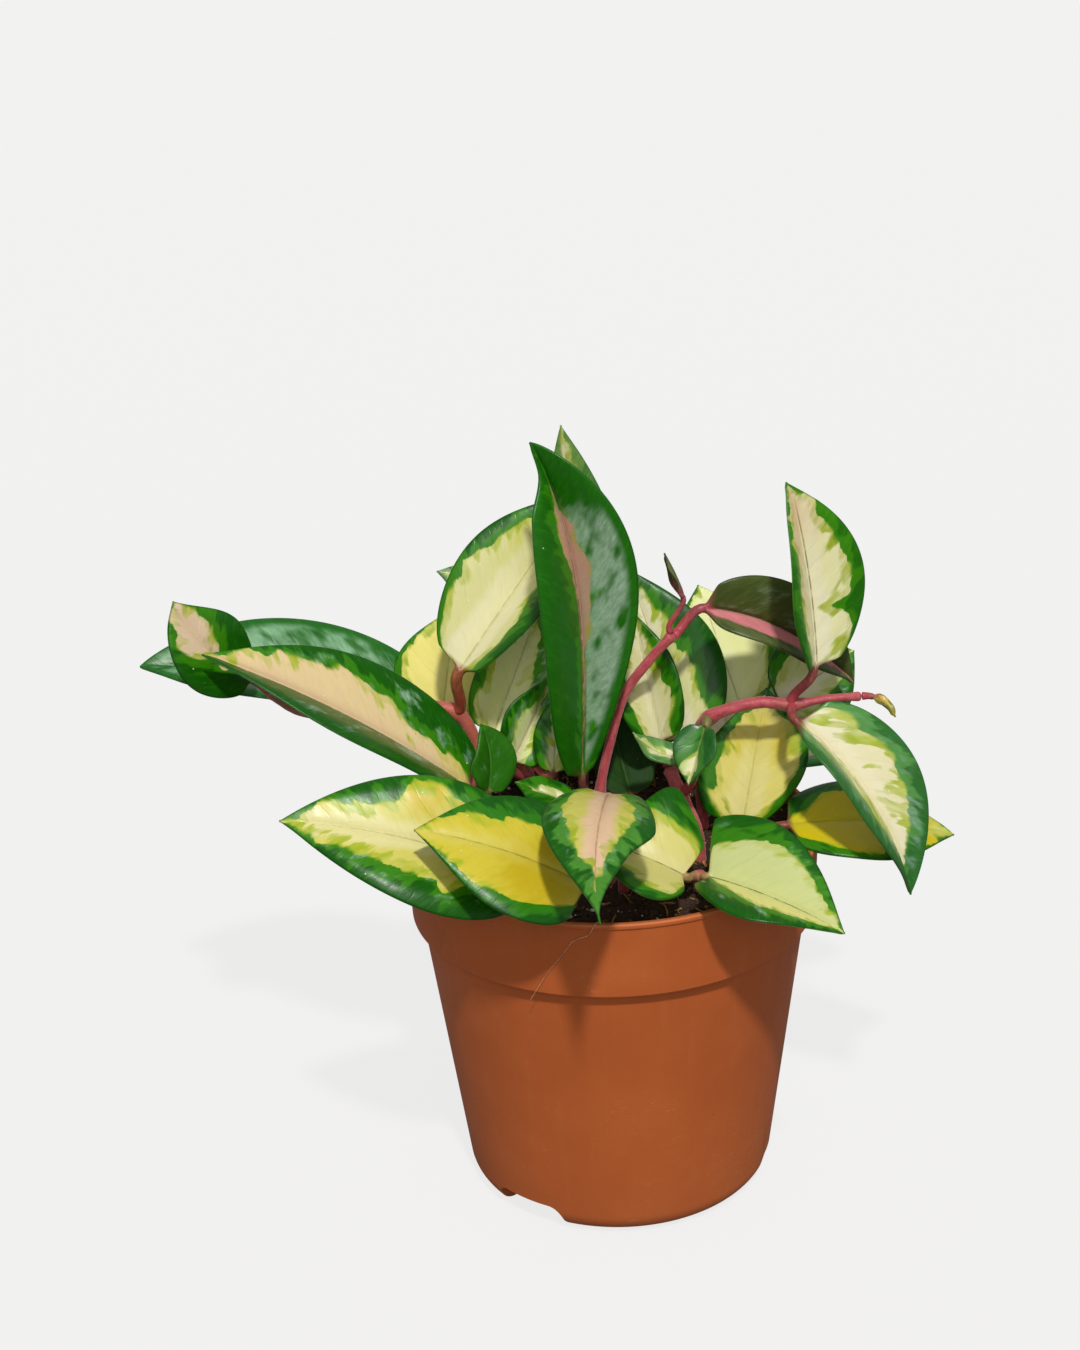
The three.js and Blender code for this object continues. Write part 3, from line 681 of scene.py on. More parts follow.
def leaf_mesh(leaf, look):
    path, face = midrib(leaf)
    stem = STEMS[leaf["stem"]]
    place = leaf["node"] / (len(stem["points"]) - 1)
    stem_at = stem_path(stem)
    centre, stem_along = stem_at(place), tangent(stem_at, place)
    base = path(0.0)
    away = base - centre
    away = stem_along if leaf.get("inline") else away - stem_along * stem_along.dot(away)
    away = unit(away)
    start = centre + away * (0.0 if leaf.get("inline") else 0.5 * stem["radius"])
    pull = np.linalg.norm(base - start) / 3
    petiole = bezier(start, start + away * pull, base - tangent(path, 0) * pull, base)
    radius = leaf.get("petiole", PETIOLE_RADIUS)
    count = len(ACROSS)
    angles = ring_angles(count)
    circle = np.stack([np.cos(angles), np.sin(angles)], 1)
    order = np.r_[np.arange(count), np.arange(count - 2, 0, -1)]
    top = np.r_[np.ones(count), -np.ones(count - 2)]
    top[[0, count - 1]] = 0
    seed = look["seed"]
    points, marks, zones, shares, stalks = [], [], [], [], []
    petiole_length = np.linalg.norm(base - start)

    def add_ring(centre, along, flat, data, lobes=None):
        up = unit(face - along * along.dot(face))
        across = np.cross(along, up)
        lobes = np.zeros(len(flat)) if lobes is None else lobes
        points.extend(centre + across * x + up * h - along * lobe for (x, h), lobe in zip(flat, lobes))
        mark, zone, share, stalk = data
        marks.extend(mark)
        zones.extend(zone)
        shares.extend(share)
        stalks.extend(stalk)

    for t in np.linspace(0, 1, PETIOLE_RINGS, endpoint=False):
        swollen = radius * (1 + 0.25 * math.exp(-((t * petiole_length / 1.5) ** 2)))
        behind = (t - 1) * petiole_length
        add_ring(petiole(t), tangent(petiole, t), circle * swollen, (
            [(behind, c * radius, seed) for c in circle[:, 0]],
            [(-3.0, 5.0, side) for side in top],
            [(0.0, 0.0, 1 - t)] * len(top),
            [1.0] * len(top),
        ))
    us = np.linspace(0, 1, BLADE_STEPS + 1) ** 1.15
    us = mix(us, (1 - np.cos(np.pi * us)) / 2, 0.45)
    middles = np.array([path(u) for u in us])
    alongs = np.r_[0, np.cumsum(np.linalg.norm(np.diff(middles, axis=0), axis=1))]
    length = alongs[-1]
    for u, middle, along in zip(us, middles, alongs):
        width, front, back = section(leaf, look, max(u, 1e-3), along)
        flat = np.stack([
            np.r_[front[0], back[0][::-1][1:-1]],
            np.r_[front[1], back[1][::-1][1:-1]],
        ], 1)
        blend = smooth(u / BLENDING)
        flat = mix(circle * radius, flat, blend)
        s, width = ACROSS[order], width[order]
        reach = np.abs(s)
        edge = np.minimum((1 - reach) * width, (length - along) * 0.8 + 0.2)
        greens = np.where(s < 0, green_share(look["left"], u), green_share(look["right"], u))
        limit = 1 - greens
        for patch_u, patch_s, reach_u, reach_s, amount in look.get("patches", ()):
            near = np.exp(-(((u - patch_u) / reach_u) ** 2) - ((s - patch_s) / reach_s) ** 2)
            limit = limit + amount * near
        inside = (limit - reach) * width - ALL_GREEN_DEPTH * np.clip(greens - 1, 0, 1)
        tone = np.zeros(len(s))
        for tone_u, tone_s, reach_u, reach_s, amount in look.get("tones", ()):
            near = np.exp(-(((u - tone_u) / reach_u) ** 2) - ((s - tone_s) / reach_s) ** 2)
            tone = np.clip(tone + amount * near, 0, 1)
        lobes = np.where(s < 0, *leaf.get("lobes", (0, 0))) * reach * (1 - smooth(u / LOBE_LENGTH)) * blend
        add_ring(middle, tangent(path, u), flat, (
            np.stack([np.full(len(s), along), s * width, np.full(len(s), seed)], 1),
            np.stack([inside, edge, top], 1),
            np.stack([np.full(len(s), u), s, tone], 1),
            (1 - blend) * np.ones(len(s)),
        ), lobes)
    rows = PETIOLE_RINGS + len(us)
    faces = ring_faces(rows, len(order))
    return points, faces, (
        ("leaf_place", "FLOAT_VECTOR", marks),
        ("leaf_zone", "FLOAT_VECTOR", zones),
        ("leaf_share", "FLOAT_VECTOR", shares),
        ("leaf_stalk", "FLOAT", stalks),
    )


# Leaf colours, in sRGB. Each leaf names its green margin as (place, share of the half width)
# from its base (0) to its tip (1), left and right of the midrib as seen from above. tones are
# patches of the second tone, warmer on most leaves and painted shade on front_pair_left: place,
# share, reach along and across, and strength. patches are green ones.
# The silvery colour and its amount, side, streaks and end below paint reflection: silvery patches stand in
# for the gloss of the waxy leaves
PLAIN = {
    "ground": (222, 216, 150), "second": (206, 196, 96), "core": (232, 226, 188), "core_reach": 3.0,
    "lime": (158, 176, 30), "mid": (54, 128, 6), "dark": (20, 90, 2), "painted_sheen": (150, 188, 158),
    "painted_sheen_amount": 0.0, "painted_sheen_side": 0, "painted_sheen_streaks": 1.0, "painted_sheen_end": 1.2, "matt": 0.0,
    "lime_width": 2.2, "ragged": 2.6, "softness": 1.6, "rib": (112, 124, 42), "rib_strength": .5,
    "double_rib": 0.0, "dots": .1, "stalk": (142, 74, 62), "joint": (176, 72, 80), "stalk_reach": 1.0,
    "underside": (104, 142, 66), "left": "0 .2, 1 .4", "right": "0 .2, 1 .4",
}
ALL_GREEN = "0 1.3, 1 1.3"
FRECKLE_COLOUR = (112, 132, 36)
DOT_COLOUR = (226, 236, 218)
UNEVEN_TONES = (234, 236, 228), (255, 255, 255)
LEAF_RELIEF = 0.1
SEED_STEP = 3.7
FIRST_SEED = 1.1

LOOKS = {
    "left_silver": dict(
        left=ALL_GREEN, right=ALL_GREEN, painted_sheen_amount=.9, mid=(66, 134, 44), dark=(36, 106, 30),
        painted_sheen=(138, 186, 144), painted_sheen_streaks=.4, rib=(60, 104, 50),
    ),
    "left_boat": dict(
        left=ALL_GREEN, right="0 .5, .05 .63, .17 .67, .29 .64, .36 .5, .48 .35, .7 .35, .84 .27, 1 .2",
        ground=(226, 200, 150), second=(222, 204, 112), core=(226, 194, 150), tones=[(.05, .3, .12, 1, 1)],
        painted_sheen_amount=.35, rib=(86, 92, 44), rib_strength=.8, underside=(96, 142, 84), stalk=(110, 110, 60),
    ),
    "left_curled": dict(
        left="0 1.2, .3 1.1, .5 .65, .7 .35, .85 .25, 1 .2",
        right="0 1.2, .35 1.05, .45 .75, .6 .5, .8 .42, 1 .2", ground=(226, 202, 166),
        second=(206, 198, 110), core=(228, 200, 168), rib_strength=.2, patches=[(.28, -.1, .07, .3, .5)],
        dots=.8,
    ),
    "cream_oval": dict(
        left="0 .1, .1 .08, .22 .13, .38 .16, .44 .08, .5 .14, .62 .3, .72 .3, .85 .36, 1 .5",
        right="0 .14, .08 .3, .2 .34, .35 .32, .45 .42, .6 .36, .8 .3, 1 .4", ground=(220, 216, 152),
        second=(206, 204, 100), core=(232, 226, 182), core_reach=7.0, tones=[(.85, 0, .35, 1, 1)],
        # The stalk colour is lighter than the petiole's own: painted light on a petiole that lies in the
        # oval's shadow
        stalk=(160, 92, 58), joint=(166, 76, 56), lime_width=1.8, ragged=1.9, softness=1.0,
    ),
    "cream_behind": dict(
        left="0 .08, .4 .1, .7 .14, .85 .3, 1 .5", right="0 .1, 1 .2", ground=(238, 226, 124),
        second=(220, 204, 70), core=(240, 232, 140),
    ),
    "tall": dict(
        left="0 .93, .5 .95, .62 .86, .7 .74, .8 .7, .86 .85, .9 1.2, 1 1.2",
        right="0 .95, .3 .94, .38 .9, .46 .78, .56 .7, .65 .68, .7 .82, .76 .8, .82 1.1, 1 1.2",
        ground=(206, 158, 138), second=(196, 150, 120), core=(206, 164, 144), lime_width=.8,
        mid=(56, 136, 14), dark=(30, 108, 8), painted_sheen_amount=1.25, painted_sheen_side=1, painted_sheen=(172, 200, 174),
        painted_sheen_streaks=.35, painted_sheen_end=.84, rib=(70, 84, 36), rib_strength=.8, ragged=1.6,
        stalk=(120, 66, 58),
    ),
    "front_heart": dict(
        left="0 .5, .15 .42, .3 .36, .48 .4, .62 .46, .72 .55, .8 .95, 1 1.2",
        right="0 .1, .1 .15, .3 .28, .5 .34, .62 .5, .72 .6, .8 .95, 1 1.2", ground=(206, 198, 96),
        second=(196, 190, 80), core=(228, 192, 156), core_reach=4.0, rib=(150, 88, 74), rib_strength=.6,
        dots=.8, painted_sheen_amount=.25, mid=(74, 140, 44), stalk=(196, 140, 120),
    ),
    "olive_arch": dict(
        left=ALL_GREEN, right="0 .4, .2 .3, .6 .28, .85 .35, .95 .6, 1 1", ground=(222, 132, 138),
        second=(206, 108, 118), core=(228, 144, 146), mid=(88, 100, 54), dark=(70, 84, 34),
        lime=(150, 110, 96), lime_width=.5, ragged=1.2, painted_sheen=(120, 134, 104), painted_sheen_amount=.3,
        rib=(70, 50, 40), underside=(120, 84, 70), stalk=(176, 84, 92), stalk_reach=3.0,
    ),
    "young_spear": dict(
        left=ALL_GREEN, right=ALL_GREEN, mid=(132, 116, 92), dark=(98, 86, 66), painted_sheen=(150, 136, 118),
        painted_sheen_amount=.4, rib=(110, 60, 58), stalk=(178, 92, 98), stalk_reach=6.0,
    ),
    "right_upright": dict(
        left="0 .5, .1 .36, .3 .26, .5 .26, .68 .32, .76 .08, 1 .02",
        right="0 .1, .1 .1, .2 .14, .27 .34, .32 .58, .37 .34, .46 .18, .6 .34, .7 .3, "
              ".81 .36, .88 .1, 1 .06", ground=(242, 238, 184), second=(236, 208, 164),
        core=(244, 238, 204), core_reach=5.0, mid=(60, 140, 4), dark=(34, 112, 0),
        tones=[(.9, -.2, .22, 1.0, 1), (.6, -.6, .4, .5, .7)], rib=(118, 112, 62), double_rib=.9,
        rib_strength=.8, stalk=(160, 84, 76),
    ),
    "right_hanging": dict(
        left="0 .34, .15 .24, .3 .3, .5 .38, .7 .48, .84 .85, .9 1.2, 1 1.3",
        right="0 .6, .2 .55, .4 .35, .6 .4, .78 .6, .88 1.1, 1 1.3", ground=(228, 220, 178),
        second=(206, 206, 110), core=(232, 224, 192), core_reach=6.0, mid=(84, 144, 70), dark=(48, 110, 44),
        lime_width=5.0, tones=[(.6, .5, .35, .5, 1)], painted_sheen=(134, 168, 146), painted_sheen_amount=.5,
        rib=(120, 118, 66), dots=.6,
    ),
    "growing_tip": dict(
        left="0 .2, 1 .2", right="0 .2, 1 .2", ground=(200, 160, 70), second=(196, 120, 70),
        core=(206, 170, 84), mid=(140, 140, 50), dark=(120, 110, 46), lime=(186, 186, 70),
        stalk=(176, 96, 84), stalk_reach=2.0,
    ),
    "front_left": dict(
        left="0 .7, .17 .65, .27 .42, .31 .32, .36 .46, .5 .46, .64 .42, .71 .36, .85 .27, 1 .2",
        right="0 .5, .25 .33, .36 .35, .41 .12, .53 .12, .57 .46, .7 .4, .78 .3, .89 .2, 1 .2",
        ground=(208, 200, 98), second=(202, 182, 44), core=(222, 214, 150), core_reach=4.5,
        tones=[(.47, .7, .09, .4, 1), (.1, 0, .22, 1, .9)], lime_width=3.0, rib=(124, 128, 50), painted_sheen_amount=.1,
        roll=1.6,
    ),
    "front_yellow": dict(
        left="0 .3, .13 .32, .3 .26, .5 .2, .7 .18, .85 .18, 1 .3",
        right="0 .45, .3 .44, .5 .41, .62 .45, .7 .31, .85 .18, 1 .25", ground=(206, 190, 56),
        second=(196, 172, 34), core=(210, 196, 84), core_reach=2.5, tones=[(.25, -.3, .3, .8, 1)],
        lime_width=1.8, rib=(96, 96, 30), ragged=2.0, dots=.5, mid=(46, 122, 14), dark=(20, 88, 10),
    ),
    # front_pair_left: the darker olive second tone, laid near the tip of the upper half, is painted shade
    "front_pair_left": dict(
        left="0 .2, .2 .16, .5 .2, 1 .4", right="0 .12, .12 .2, .3 .35, .5 .42, .75 .3, 1 .4",
        ground=(214, 206, 124), second=(170, 160, 52), core=(216, 208, 140), tones=[(.75, .6, .3, .5, .8)],
        rib=(104, 104, 40), rib_strength=.8, ragged=2.0, stalk=(178, 150, 96), joint=(176, 122, 92),
    ),
    "front_pair_right": dict(
        left="0 .5, .15 .42, .3 .27, .5 .24, .7 .32, .85 .38, 1 .4",
        right="0 .8, .15 .55, .4 .45, .7 .42, .9 .35, 1 .4", ground=(202, 208, 142), second=(228, 220, 138),
        core=(208, 212, 146), core_reach=2.0, tones=[(.45, .45, .7, .42, 1.2)], lime_width=1.4,
        rib=(92, 104, 44), rib_strength=.9, ragged=2.0, painted_sheen_amount=.15, stalk=(178, 150, 96),
        joint=(176, 122, 92),
    ),
    "right_oval": dict(
        left="0 .3, .2 .26, .4 .26, .48 .42, .56 .32, .8 .3, .88 .7, 1 1.3",
        right="0 .3, .3 .22, .6 .16, .8 .2, .88 .7, 1 1.3", ground=(230, 218, 120), second=(214, 196, 60),
        core=(234, 224, 146), core_reach=5.0, tones=[(.7, 0, .25, 1, .8)], rib_strength=.35,
    ),
    "right_yellow": dict(
        left="0 .8, .1 .7, .25 .36, .5 .2, .8 .2, 1 .3", right="0 .4, .2 .15, .5 .1, .8 .15, 1 .3",
        ground=(206, 186, 8), second=(196, 206, 110), core=(206, 188, 30), lime_width=1.2,
        tones=[(1.0, 0, .22, 1, 1.2)], rib_strength=.3,
    ),
    "centre_broad": dict(
        left="0 .2, .3 .3, .6 .45, .8 .6, 1 .9", right="0 .3, .3 .5, .5 .62, .7 .5, 1 .9",
        ground=(216, 214, 152), second=(200, 198, 110), lime_width=3.0,
    ),
    "centre_narrow": dict(
        left="0 .2, 1 .35", right="0 .32, .5 .42, 1 .5", ground=(222, 218, 160), core=(230, 226, 186),
        rib=(150, 150, 90),
    ),
    "saddle": dict(
        left="0 .5, 1 .6", right="0 .3, 1 .4", ground=(206, 214, 162), second=(190, 206, 140),
        mid=(110, 156, 84), dark=(74, 128, 60), stalk=(126, 140, 82),
    ),
    "lobe": dict(
        left="0 1.1, .5 .9, .8 .5, 1 .3", right="0 1.1, .45 .9, .7 .45, 1 .3", ground=(196, 210, 140),
        second=(180, 200, 110), mid=(70, 132, 50), dark=(40, 100, 40), dots=.6, stalk=(126, 120, 70),
    ),
    # middle_cream: its cream, lime and greens are brighter than the leaf's own, painted light where the cream
    # oval's shadow falls on it
    "middle_cream": dict(
        left="0 .14, 1 .2", right="0 .2, .3 .42, .6 .52, 1 .6", ground=(248, 248, 176),
        second=(232, 236, 120), core=(250, 250, 196), lime_width=2.6, lime=(190, 206, 40),
        mid=(80, 160, 30), dark=(50, 130, 20), painted_sheen=(200, 216, 196), painted_sheen_amount=.4,
    ),
    "middle_folded": dict(
        left="0 .3, .5 .5, 1 .9", right="0 .5, .5 .7, 1 1.1", ground=(226, 238, 160),
        second=(206, 226, 130), painted_sheen_amount=.6, mid=(70, 150, 20),
    ),
    "middle_small": dict(left="0 .4, 1 .7", right="0 .4, 1 .7", ground=(220, 232, 140), painted_sheen_amount=.3),
    "middle_flat": dict(left="0 .8, 1 1", right="0 .5, 1 .8", ground=(180, 200, 120)),
    "left_small": dict(
        left=ALL_GREEN, right=ALL_GREEN, painted_sheen_amount=.15, mid=(64, 134, 20), dark=(44, 112, 16),
        rib=(96, 150, 60),
    ),
    "centre_low": dict(
        left=ALL_GREEN, right=ALL_GREEN, matt=.4, dark=(30, 64, 14), mid=(60, 92, 24), rib=(70, 100, 40),
    ),
    "back_tip": dict(
        left="0 .3, 1 .4", right="0 .4, 1 .6", ground=(196, 210, 146), mid=(110, 152, 74),
        dark=(74, 128, 54),
    ),
    "back_thin": dict(left="0 .3, 1 .6", right="0 .3, 1 .6", mid=(120, 160, 104)),
    "back_centre": dict(
        left="0 .12, 1 .3", right="0 .1, 1 .2", ground=(232, 234, 160), core=(236, 238, 176), matt=.3,
    ),
    "back_right": dict(
        left="0 .3, .5 .35, 1 .8", right="0 .3, .5 .5, 1 .9", ground=(206, 212, 140), painted_sheen_amount=.3,
    ),
    "back_low_left": dict(left="0 .3, .5 .4, 1 .6", right="0 .3, .5 .3, 1 .6"),
    "back_low_centre": dict(
        left="0 .4, .5 .3, 1 .5", right="0 .3, .4 .45, 1 .5", ground=(212, 202, 104), second=(200, 184, 60),
    ),
    "back_side": dict(left=ALL_GREEN, right="0 .9, .5 .6, 1 .9", painted_sheen_amount=.5),
    "back_low_right": dict(
        left="0 .4, .5 .35, 1 .6", right="0 .3, .5 .4, 1 .6", ground=(226, 206, 160), core=(228, 200, 162),
        second=(214, 206, 120),
    ),
    "back_outer": dict(left="0 .4, .5 .4, 1 .7", right="0 .5, .5 .45, 1 .7", ground=(218, 212, 140)),
}


def leaf_material(name, look):
    shader = Shader(name + "_surface")
    blend, ease, times, add = shader.mix, shader.ease, shader.times, shader.add
    minus = shader.minus
    along, across, seed = shader.split(shader.attribute("leaf_place")[1])
    inside, edge, top = shader.split(shader.attribute("leaf_zone")[1])
    place_u, _, tone = shader.split(shader.attribute("leaf_share")[1])
    stalk = shader.attribute("leaf_stalk")[2]
    reach = shader.math("ABSOLUTE", across)
    side = shader.math("SIGN", across)
    # Coordinates across and along the slanting side veins
    vein = minus(along, times(reach, VEIN_SLANT))
    seeded = add(times(side, 7.3), seed)

    def veined(across_veins, along_veins, offset=0.0, detail=2.0, roughness=0.5):
        """Noise drawn out along the side veins; the two sizes are in millimetres."""
        spot = shader.vector(
            times(vein, 1 / across_veins), times(reach, 1 / along_veins), add(seeded, offset),
        )
        return shader.noise(spot, 1.0, detail, roughness)

    def swing(noise, reach_mm):
        return times(minus(noise, 0.5), reach_mm)

    slow, lumpy, fine = veined(8.5, 12), veined(3.1, 5, 5.0), veined(0.9, 1.6, 9.0, 2.0, 0.6)
    patchy, watery = veined(4.5, 7, 31.0), veined(6, 8, 17.0)
    depth = add(inside, swing(slow, 2.8 * look["ragged"]))
    depth = add(depth, add(swing(lumpy, 0.75 * look["ragged"]), swing(fine, 0.55)))
    # Cream centre: a paler core along the midrib, and a second tone, warmer on most leaves and painted shade
    # on front_pair_left
    toned = add(add(tone, swing(patchy, 1.3)), -0.1)
    colour = blend(ease(toned, 0.05, 0.8), look["ground"], look["second"])
    core = ease(add(reach, swing(slow, 7.0)), look["core_reach"] + 1.6, look["core_reach"] - 1.6)
    colour = blend(times(core, minus(1.0, times(tone, 0.8))), colour, look["core"])
    # A watery lime wash where the green thins out, then two greens whose edge is crisp or soft by turns
    wash_reach = ease(patchy, 0.38, 0.66, 0.1, look["lime_width"] * 1.7)
    wash = ease(minus(depth, wash_reach), 1.1, -0.9)
    wash = times(wash, ease(watery, 0.36, 0.6, 0.35, 0.95))
    blended = tuple(0.7 * a + 0.3 * b for a, b in zip(look["lime"], look["ground"]))
    colour = blend(wash, colour, blend(ease(lumpy, 0.38, 0.62), look["lime"], blended))
    freckle = times(ease(fine, 0.66, 0.72), ease(depth, 4.5, 0.6))
    colour = blend(times(freckle, 0.5), colour, FRECKLE_COLOUR)
    softness = ease(watery, 0.4, 0.62, 0.3, look["softness"])
    green = ease(shader.math("DIVIDE", depth, softness), 0.6, -0.6)
    dark_edge = add(depth, ease(patchy, 0.32, 0.66, 0.4, 5.0))
    greens = blend(ease(dark_edge, 1.0, -1.2), look["mid"], look["dark"])
    mottle = veined(1.5, 3.2, 3.0, 3.0, 0.6)
    greens = blend(ease(mottle, 0.5, 0.8, 0.0, 0.3), greens, look["mid"])
    # Painted reflection: silvery patches on the greens stand in for the gloss of the waxy leaf under the
    # bright surroundings
    if look["painted_sheen_amount"]:
        sheen_clouds = veined(7, 6, 11.0, 1.0 + 2.0 * look["painted_sheen_streaks"], 0.6)
        painted_sheen_cover = ease(sheen_clouds, 0.6 - 0.26 * look["painted_sheen_amount"], 0.74 - 0.16 * look["painted_sheen_amount"])
        painted_sheen_cover = times(painted_sheen_cover, ease(edge, 1.4, 4.0))
        painted_sheen_cover = times(painted_sheen_cover, ease(reach, 0.5, 1.6))
        near_tip = add(place_u, swing(lumpy, 0.12))
        painted_sheen_cover = times(painted_sheen_cover, ease(near_tip, look["painted_sheen_end"], look["painted_sheen_end"] - 0.1))
        if look["painted_sheen_side"]:
            painted_sheen_cover = times(painted_sheen_cover, ease(times(side, look["painted_sheen_side"]), -0.1, 0.1))
        sheen_flecks = ease(add(fine, swing(mottle, 0.8)), 0.3, 0.7, 1 - 0.65 * look["painted_sheen_streaks"], 1)
        greens = blend(times(painted_sheen_cover, times(sheen_flecks, 0.85)), greens, look["painted_sheen"])
    colour = blend(green, colour, greens)
    # Side veins, the midrib line, white dots and the darker margin line
    phase = shader.math("FRACT", add(times(vein, 1 / VEIN_SPACING), swing(slow, 1.4)))
    ridge = shader.math("ABSOLUTE", minus(phase, 0.5))
    vein_line = times(ease(ridge, 0.06, 0.0), ease(reach, 0.5, 2.0))
    colour = blend(times(vein_line, ease(lumpy, 0.45, 0.65, 0.0, 0.1)), colour, look["rib"])
    line_width = ease(place_u, 0.0, 1.0, 0.3, 0.14)
    rib = ease(minus(reach, line_width), 0.12, -0.06)
    if look["double_rib"]:
        second_rib = shader.math("ABSOLUTE", minus(across, look["double_rib"]))
        rib = shader.math("MAXIMUM", rib, ease(second_rib, 0.3, 0.12))
    rib = times(rib, ease(place_u, 0.98, 0.7, 0.0, look["rib_strength"]))
    rib = times(rib, ease(lumpy, 0.35, 0.55, 0.45, 1.0))
    colour = blend(rib, colour, look["rib"])
    spots = shader.cells(shader.vector(times(along, 1 / 2.6), times(across, 1 / 2.6), seeded))
    chosen = ease(shader.split(spots[1])[0], 0.99 - 0.3 * look["dots"], 1.0 - 0.3 * look["dots"])
    dot = times(ease(spots[0], 0.11, 0.07), chosen)
    colour = blend(times(dot, 0.75), colour, DOT_COLOUR)
    margin_line = times(ease(edge, 0.5, 0.15), ease(place_u, 0.0, 0.04))
    colour = blend(times(margin_line, 0.5), colour, tuple(0.8 * c for c in look["dark"]))
    # Lightly uneven tone, a duller underside and the stalk
    uneven = blend(ease(mottle, 0.25, 0.75), *UNEVEN_TONES)
    texture = ease(green, 0, 1, 0.25, 1.0)
    colour = blend(texture, colour, blend(1.0, colour, uneven, "MULTIPLY"))
    under = ease(top, 0.05, -0.3)
    banded = ease(veined(30, 2.2, 23.0), 0.42, 0.58, 0.35, 0.75)
    colour = blend(times(under, banded), colour, look["underside"])
    near_stalk = add(along, times(reach, 1.2))
    near_stalk = ease(near_stalk, look["stalk_reach"] + 1.5, look["stalk_reach"] - 0.5)
    stalk_mask = shader.math("MAXIMUM", stalk, times(near_stalk, 0.9))
    stalk_tone = blend(ease(fine, 0.35, 0.65), look["stalk"], tuple(0.8 * c for c in look["stalk"]))
    at_stem = ease(times(stalk, tone), 0.15, 0.75)
    stalk_tone = blend(at_stem, stalk_tone, look["joint"])
    colour = blend(stalk_mask, colour, stalk_tone)
    shader.set("Base Color", colour)
    gloss = ease(mottle, 0.25, 0.75, 0.27, 0.38)
    gloss = add(gloss, add(times(under, 0.16), look["matt"]))
    shader.set("Roughness", gloss)
    shader.set("Specular IOR Level", 0.26)
    pores = shader.noise(shader.vector(along, across, seeded), 2.4, 3.0, 0.6)
    relief = add(times(pores, 0.35), times(vein_line, -0.35))
    grain = add(times(mottle, 0.6), times(lumpy, 0.9))
    relief = add(relief, times(grain, texture))
    shader.set("Normal", shader.bump(relief, LEAF_RELIEF * MM, 0.6))
    return shader.material


def add_leaves():
    for i, (name, leaf) in enumerate(LEAVES.items()):
        look = {**PLAIN, **LOOKS.get(name, {}), "seed": SEED_STEP * i + FIRST_SEED}
        points, faces, attributes = leaf_mesh(leaf, look)
        material = leaf_material("leaf_" + name, look)
        piece = add_mesh("blade_" + name, points, faces, material, attributes)
        finish_piece(piece, "leaf_" + leaf.get("finish", "cream"), "leaf_" + name)


# Stems
def stem_material(name, warmth):
    shader = Shader(name)
    blend, ease, times, add = shader.mix, shader.ease, shader.times, shader.add
    length, angle, share = shader.split(shader.attribute("stem_place")[1])
    end = shader.attribute("stem_end")[2]
    around = shader.vector(times(length, 1 / 6), shader.math("SINE", angle), shader.math("COSINE", angle))
    long_tone = shader.noise(around, 1.0, 3.0, 0.6)
    place = shader.position()
    fine = shader.noise(place, 1.4, 3.0, 0.6)
    colour = blend(ease(long_tone, 0.3, 0.7), (166, 56, 66), (204, 92, 96))
    colour = blend(ease(fine, 0.45, 0.75, 0.0, 0.5), colour, (140, 44, 54))
    green = shader.noise(place, 0.09, 2.0, 0.5)
    colour = blend(ease(green, 0.56, 0.72, 0.0, 0.55), colour, (132, 100, 62))
    colour = blend(warmth, colour, (178, 96, 62))
    colour = blend(times(end, 0.85), colour, (110, 84, 48))
    hairs = shader.noise(shader.vector(times(length, 2.6), times(angle, 3.2), share), 1.0, 2.0, 0.5)
    colour = blend(ease(hairs, 0.62, 0.74, 0.0, 0.35), colour, (222, 168, 168))
    shader.set("Base Color", colour)
    shader.set("Roughness", ease(fine, 0.3, 0.7, 0.42, 0.6))
    shader.set("Sheen Weight", 0.35)
    shader.set("Sheen Roughness", 0.5)
    shader.set("Sheen Tint", (1.0, 0.82, 0.8, 1))
    shader.set("Normal", shader.bump(add(fine, times(hairs, 0.7)), 0.12 * MM, 0.8))
    return shader.material


DRIED_ENDS = {"stem_left_vine": 0.7}
BROWN_STEMS = ("stem_left_vine", "stem_middle_left", "stem_front_right", "stem_right", "stem_back_right")


def add_stems():
    crimson = stem_material("crimson_stem_surface", 0.0)
    brown = stem_material("brown_stem_surface", 0.6)
    for name, stem in STEMS.items():
        material = brown if name in BROWN_STEMS else crimson
        path = stem_path(stem)
        steps = (len(stem["points"]) - 1) * STEM_RINGS_PER_SPAN + 1
        points, places = tube(path, steps, lambda t: stem_radius(stem, t), STEM_SIDES)
        ends = [smooth((t - 0.8) / 0.12) * DRIED_ENDS.get(name, 0.0) for _, _, t in places]
        piece = add_mesh(name.replace("stem_", "vine_"), points, ring_faces(steps, STEM_SIDES), material, (
            ("stem_place", "FLOAT_VECTOR", places),
            ("stem_end", "FLOAT", ends),
        ))
        finish_piece(piece, "stem", name)


# Pot: a moulded cup with a stepped collar, a rolled lip and three drainage channels
LIP_RADIUS = 60
POT_HEIGHT = 110
COLLAR_HEIGHT = 23
BASE_RADIUS = 45.3
POT_WALL = 1.4
LIP_HEIGHT = 1.6
LIP_OVERHANG = 0.5
FOOT_ROUNDING = 8
FOOT_SWEEP = 84
STEP_HEIGHT = 1
STEP_BOTTOM = POT_HEIGHT - COLLAR_HEIGHT
STEP_TOP_RADIUS = 58.7
WALL_TOP_RADIUS = 55.9
CHANNEL_COUNT = 3
CHANNEL_WIDTH = 23
CHANNEL_HEIGHT = 8
CHANNEL_ROUNDING = 4
CHANNEL_START = 30
FIRST_CHANNEL_ANGLE = math.radians(-128)
DRAIN_RADIUS = 3.5
DRAIN_DISTANCE = 36
POT_SEGMENTS = 240
POT_SMOOTHING = math.radians(40)


